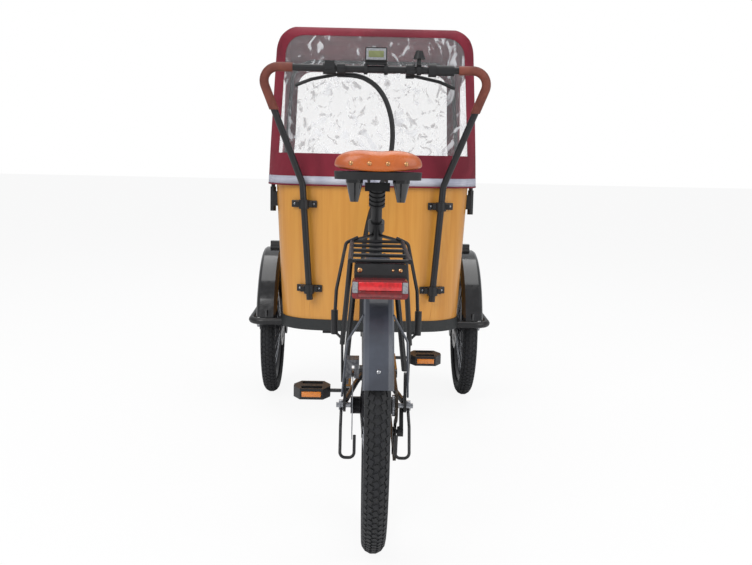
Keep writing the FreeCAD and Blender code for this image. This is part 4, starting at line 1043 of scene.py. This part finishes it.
@dataclass
class Cockpit:
    """The display's raised bezel and its blank screen.

    Attributes:
        shop: The mesh helpers.
        bezel: The bezel's size.
        screen: The screen's size.
        drop: Distance from the display's top to the middle of both.
        proud: How far the bezel stands out.
        step: How far the screen stands in front of the bezel.
        bevel: Bevel of both.
    """

    shop: Shop
    bezel: Point = (0.062, 0.004, 0.035)
    screen: Point = (0.048, 0.004, 0.020)
    drop: float = 0.021
    proud: float = 0.0002
    step: float = 0.0012
    bevel: float = 0.001

    def build(self) -> None:
        """Add the bezel and the screen."""
        low, high = (Vector(c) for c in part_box("display"))
        z = high.z - self.drop
        y = low.y - self.proud
        for name, size, off, finish in (("display_bezel", self.bezel, 0.0, BEZEL),
                                        ("display_screen", self.screen, -self.step, LCD)):
            mesh = bmesh.new()
            self.shop.brick(mesh, Matrix.Translation(Vector((0, y + off, z))), size, self.bevel)
            self.shop.finish(name, mesh, finish, "front_assembly", "black_plastic")


@dataclass
class Studio:
    """The floor, the lights, the world and the camera.

    Attributes:
        lens: The camera's focal length, in millimetres.
        sensor: Width of its sensor, in millimetres.
        position: Where it stands.
        yaw: Its turn to the right.
        pitch: Its tilt down.
        roll: Its turn about its own axis.
        aim: Where the lamps point.
        floor_white: How far the camera sees the floor as white.
        world_light: Strength of the even light.
    """

    lens: float = 44.43
    sensor: float = 36.0
    position: Point = (-0.04406, -2.86957, 0.91233)
    yaw: float = 0.0196
    pitch: float = 0.1365
    roll: float = 0.0208
    aim: Point = (0.0, 0.0, 0.6)
    floor_white: float = 0.9
    world_light: float = 0.55

    def build(self) -> None:
        """Set up everything that isn't the object."""
        self._floor()
        self._world()
        self._lamp("key", (-2.6, -3.4, 3.4), 3.0, 120.0)
        self._lamp("fill", (3.2, -2.4, 2.2), 3.0, 62.0)
        self._lamp("top", (0.0, 1.2, 4.2), 4.0, 90.0)
        self._camera()
        bpy.context.scene.view_settings.view_transform = "Standard"

    @staticmethod
    def _white_for_camera(tree: bpy.types.NodeTree, share: float, *also: str) -> bpy.types.NodeSocket:
        """Find how white a surface is for the rays that see it as plain white.

        Args:
            tree: The node tree of the material or the world.
            share: How white, from 0 to 1.
            also: Light Path outputs that count beside camera rays.

        Returns:
            The socket to mix by.
        """
        path = tree.nodes.new("ShaderNodeLightPath")
        total = path.outputs["Is Camera Ray"]
        for name in also:
            add = tree.nodes.new("ShaderNodeMath")
            add.operation = "MAXIMUM"
            tree.links.new(total, add.inputs[0])
            tree.links.new(path.outputs[name], add.inputs[1])
            total = add.outputs[0]
        amount = tree.nodes.new("ShaderNodeMath")
        amount.operation = "MULTIPLY"
        amount.inputs[1].default_value = share
        tree.links.new(total, amount.inputs[0])
        return amount.outputs[0]

    def _floor(self) -> None:
        """A wide pale floor that keeps a soft shadow."""
        mesh = bmesh.new()
        bmesh.ops.create_grid(mesh, x_segments=1, y_segments=1, size=30.0)
        data = bpy.data.meshes.new("floor")
        mesh.to_mesh(data)
        mesh.free()
        floor = bpy.data.objects.new("floor", data)
        bpy.context.scene.collection.objects.link(floor)
        made = bpy.data.materials.new("pale_floor")
        made.use_nodes = True
        tree = made.node_tree
        shader = tree.nodes["Principled BSDF"]
        shader.inputs["Base Color"].default_value = (0.86, 0.86, 0.86, 1.0)
        shader.inputs["Roughness"].default_value = 0.9
        shader.inputs["Specular IOR Level"].default_value = 0.1
        white = tree.nodes.new("ShaderNodeEmission")
        white.inputs["Color"].default_value = (1.0, 1.0, 1.0, 1.0)
        mix = tree.nodes.new("ShaderNodeMixShader")
        tree.links.new(self._white_for_camera(tree, self.floor_white), mix.inputs[0])
        tree.links.new(shader.outputs[0], mix.inputs[1])
        tree.links.new(white.outputs[0], mix.inputs[2])
        tree.links.new(mix.outputs[0], tree.nodes["Material Output"].inputs["Surface"])
        floor.data.materials.append(made)

    def _world(self) -> None:
        """Even grey light, seen as white by the camera."""
        world = bpy.data.worlds.new("studio")
        bpy.context.scene.world = world
        world.use_nodes = True
        tree = world.node_tree
        plain = tree.nodes["Background"]
        plain.inputs["Color"].default_value = (0.85, 0.86, 0.88, 1.0)
        plain.inputs["Strength"].default_value = self.world_light
        white = tree.nodes.new("ShaderNodeBackground")
        white.inputs["Color"].default_value = (1.0, 1.0, 1.0, 1.0)
        mix = tree.nodes.new("ShaderNodeMixShader")
        tree.links.new(self._white_for_camera(tree, 1.0, "Is Transmission Ray"), mix.inputs[0])
        tree.links.new(plain.outputs[0], mix.inputs[1])
        tree.links.new(white.outputs[0], mix.inputs[2])
        tree.links.new(mix.outputs[0], tree.nodes["World Output"].inputs["Surface"])

    def _lamp(self, name: str, at: Point, size: float, power: float) -> None:
        """Add a soft area lamp that points at the middle of the vehicle.

        Args:
            name: The lamp's name.
            at: Where it hangs.
            size: Width of its square face.
            power: Its power, in watts.
        """
        data = bpy.data.lights.new(name, "AREA")
        data.size = size
        data.energy = power
        lamp = bpy.data.objects.new(name, data)
        lamp.location = at
        lamp.rotation_euler = (Vector(self.aim) - Vector(at)).to_track_quat("-Z", "Y").to_euler()
        bpy.context.scene.collection.objects.link(lamp)

    def _camera(self) -> None:
        """Place the camera behind the vehicle, at saddle height."""
        ahead = Vector((math.sin(self.yaw) * math.cos(self.pitch),
                        math.cos(self.yaw) * math.cos(self.pitch), -math.sin(self.pitch)))
        level = Vector((math.cos(self.yaw), -math.sin(self.yaw), 0))
        up = level.cross(ahead)
        right = level * math.cos(self.roll) + up * math.sin(self.roll)
        top = up * math.cos(self.roll) - level * math.sin(self.roll)
        turn = Matrix((right, top, -ahead)).transposed().to_4x4()
        data = bpy.data.cameras.new("camera")
        data.lens = self.lens
        data.sensor_width = self.sensor
        data.clip_end = 100.0
        camera = bpy.data.objects.new("camera", data)
        camera.matrix_world = Matrix.Translation(Vector(self.position)) @ turn
        bpy.context.scene.collection.objects.link(camera)
        bpy.context.scene.camera = camera


def dress_frame(paints: Paintbox) -> None:
    """Put a finish on every CAD node that stays visible.

    Args:
        paints: Where materials come from.
    """
    paints.dress(BLACK, "main_frame", "chain_stays", "seat_stays", "rear_rack", "axle_guards", "sub_frame",
                 "wheel_guards", "handlebar", "post_brackets", "canopy_poles", "pole_sockets", "derailleur",
                 "brake_levers")
    paints.dress(GLOSS_BLACK, "front_fenders", "crank_arms", "chainring", "saddle_springs",
                 "rack_end_housing")
    paints.dress(PLASTIC, "saddle_base", "pedal_left", "pedal_right", "display", "left_switch",
                 "twist_grip", "bell", "rack_straps", "seat_post")
    paints.dress(RIM, "rear_rim", "front_rim_left", "front_rim_right", "rear_hub_motor", "front_hub_left",
                 "front_hub_right")
    paints.dress(STEEL, "rear_axle", "front_axles", "rear_spokes", "front_spokes_left", "front_spokes_right",
                 "rear_brake_disc", "rear_sprocket")
    paints.dress(ALLOY, "rear_caliper", "front_calipers")
    paints.dress(CHAIN, "chain")
    paints.dress(SLATE, "rear_fender")
    paints.dress(PLYWOOD, "box_rear_panel", "box_front_panel", "box_side_left", "box_side_right",
                 "bench_board")
    paints.dress(TRAY, "box_tray")
    paints.dress(FABRIC, "canopy")
    paints.dress(GRIP, "grip_wraps")
    paints.dress(DARK_LENS, "tail_light")
    paints.put(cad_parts["canopy_windows"], paints.film())


def main() -> None:
    """Build the sub-assemblies in order and report each piece."""
    logging.basicConfig(level=logging.INFO)
    paints = Paintbox(NodeGroups())
    shop = Shop(paints)
    dress_frame(paints)
    Tyre(shop, "rear_tyre", "rear_wheel", blocks=110).build()
    Tyre(shop, "front_tyre_left", "left_front_wheel", blocks=84).build()
    Tyre(shop, "front_tyre_right", "right_front_wheel", blocks=84).build()
    for part in (BoxTrim(shop), CanopyTrim(shop), Saddle(shop), BenchCushion(shop), RearDetails(shop),
                 CableLoom(shop), Cockpit(shop)):
        part.build()
    Studio().build()


if __name__ == "__main__":
    main()
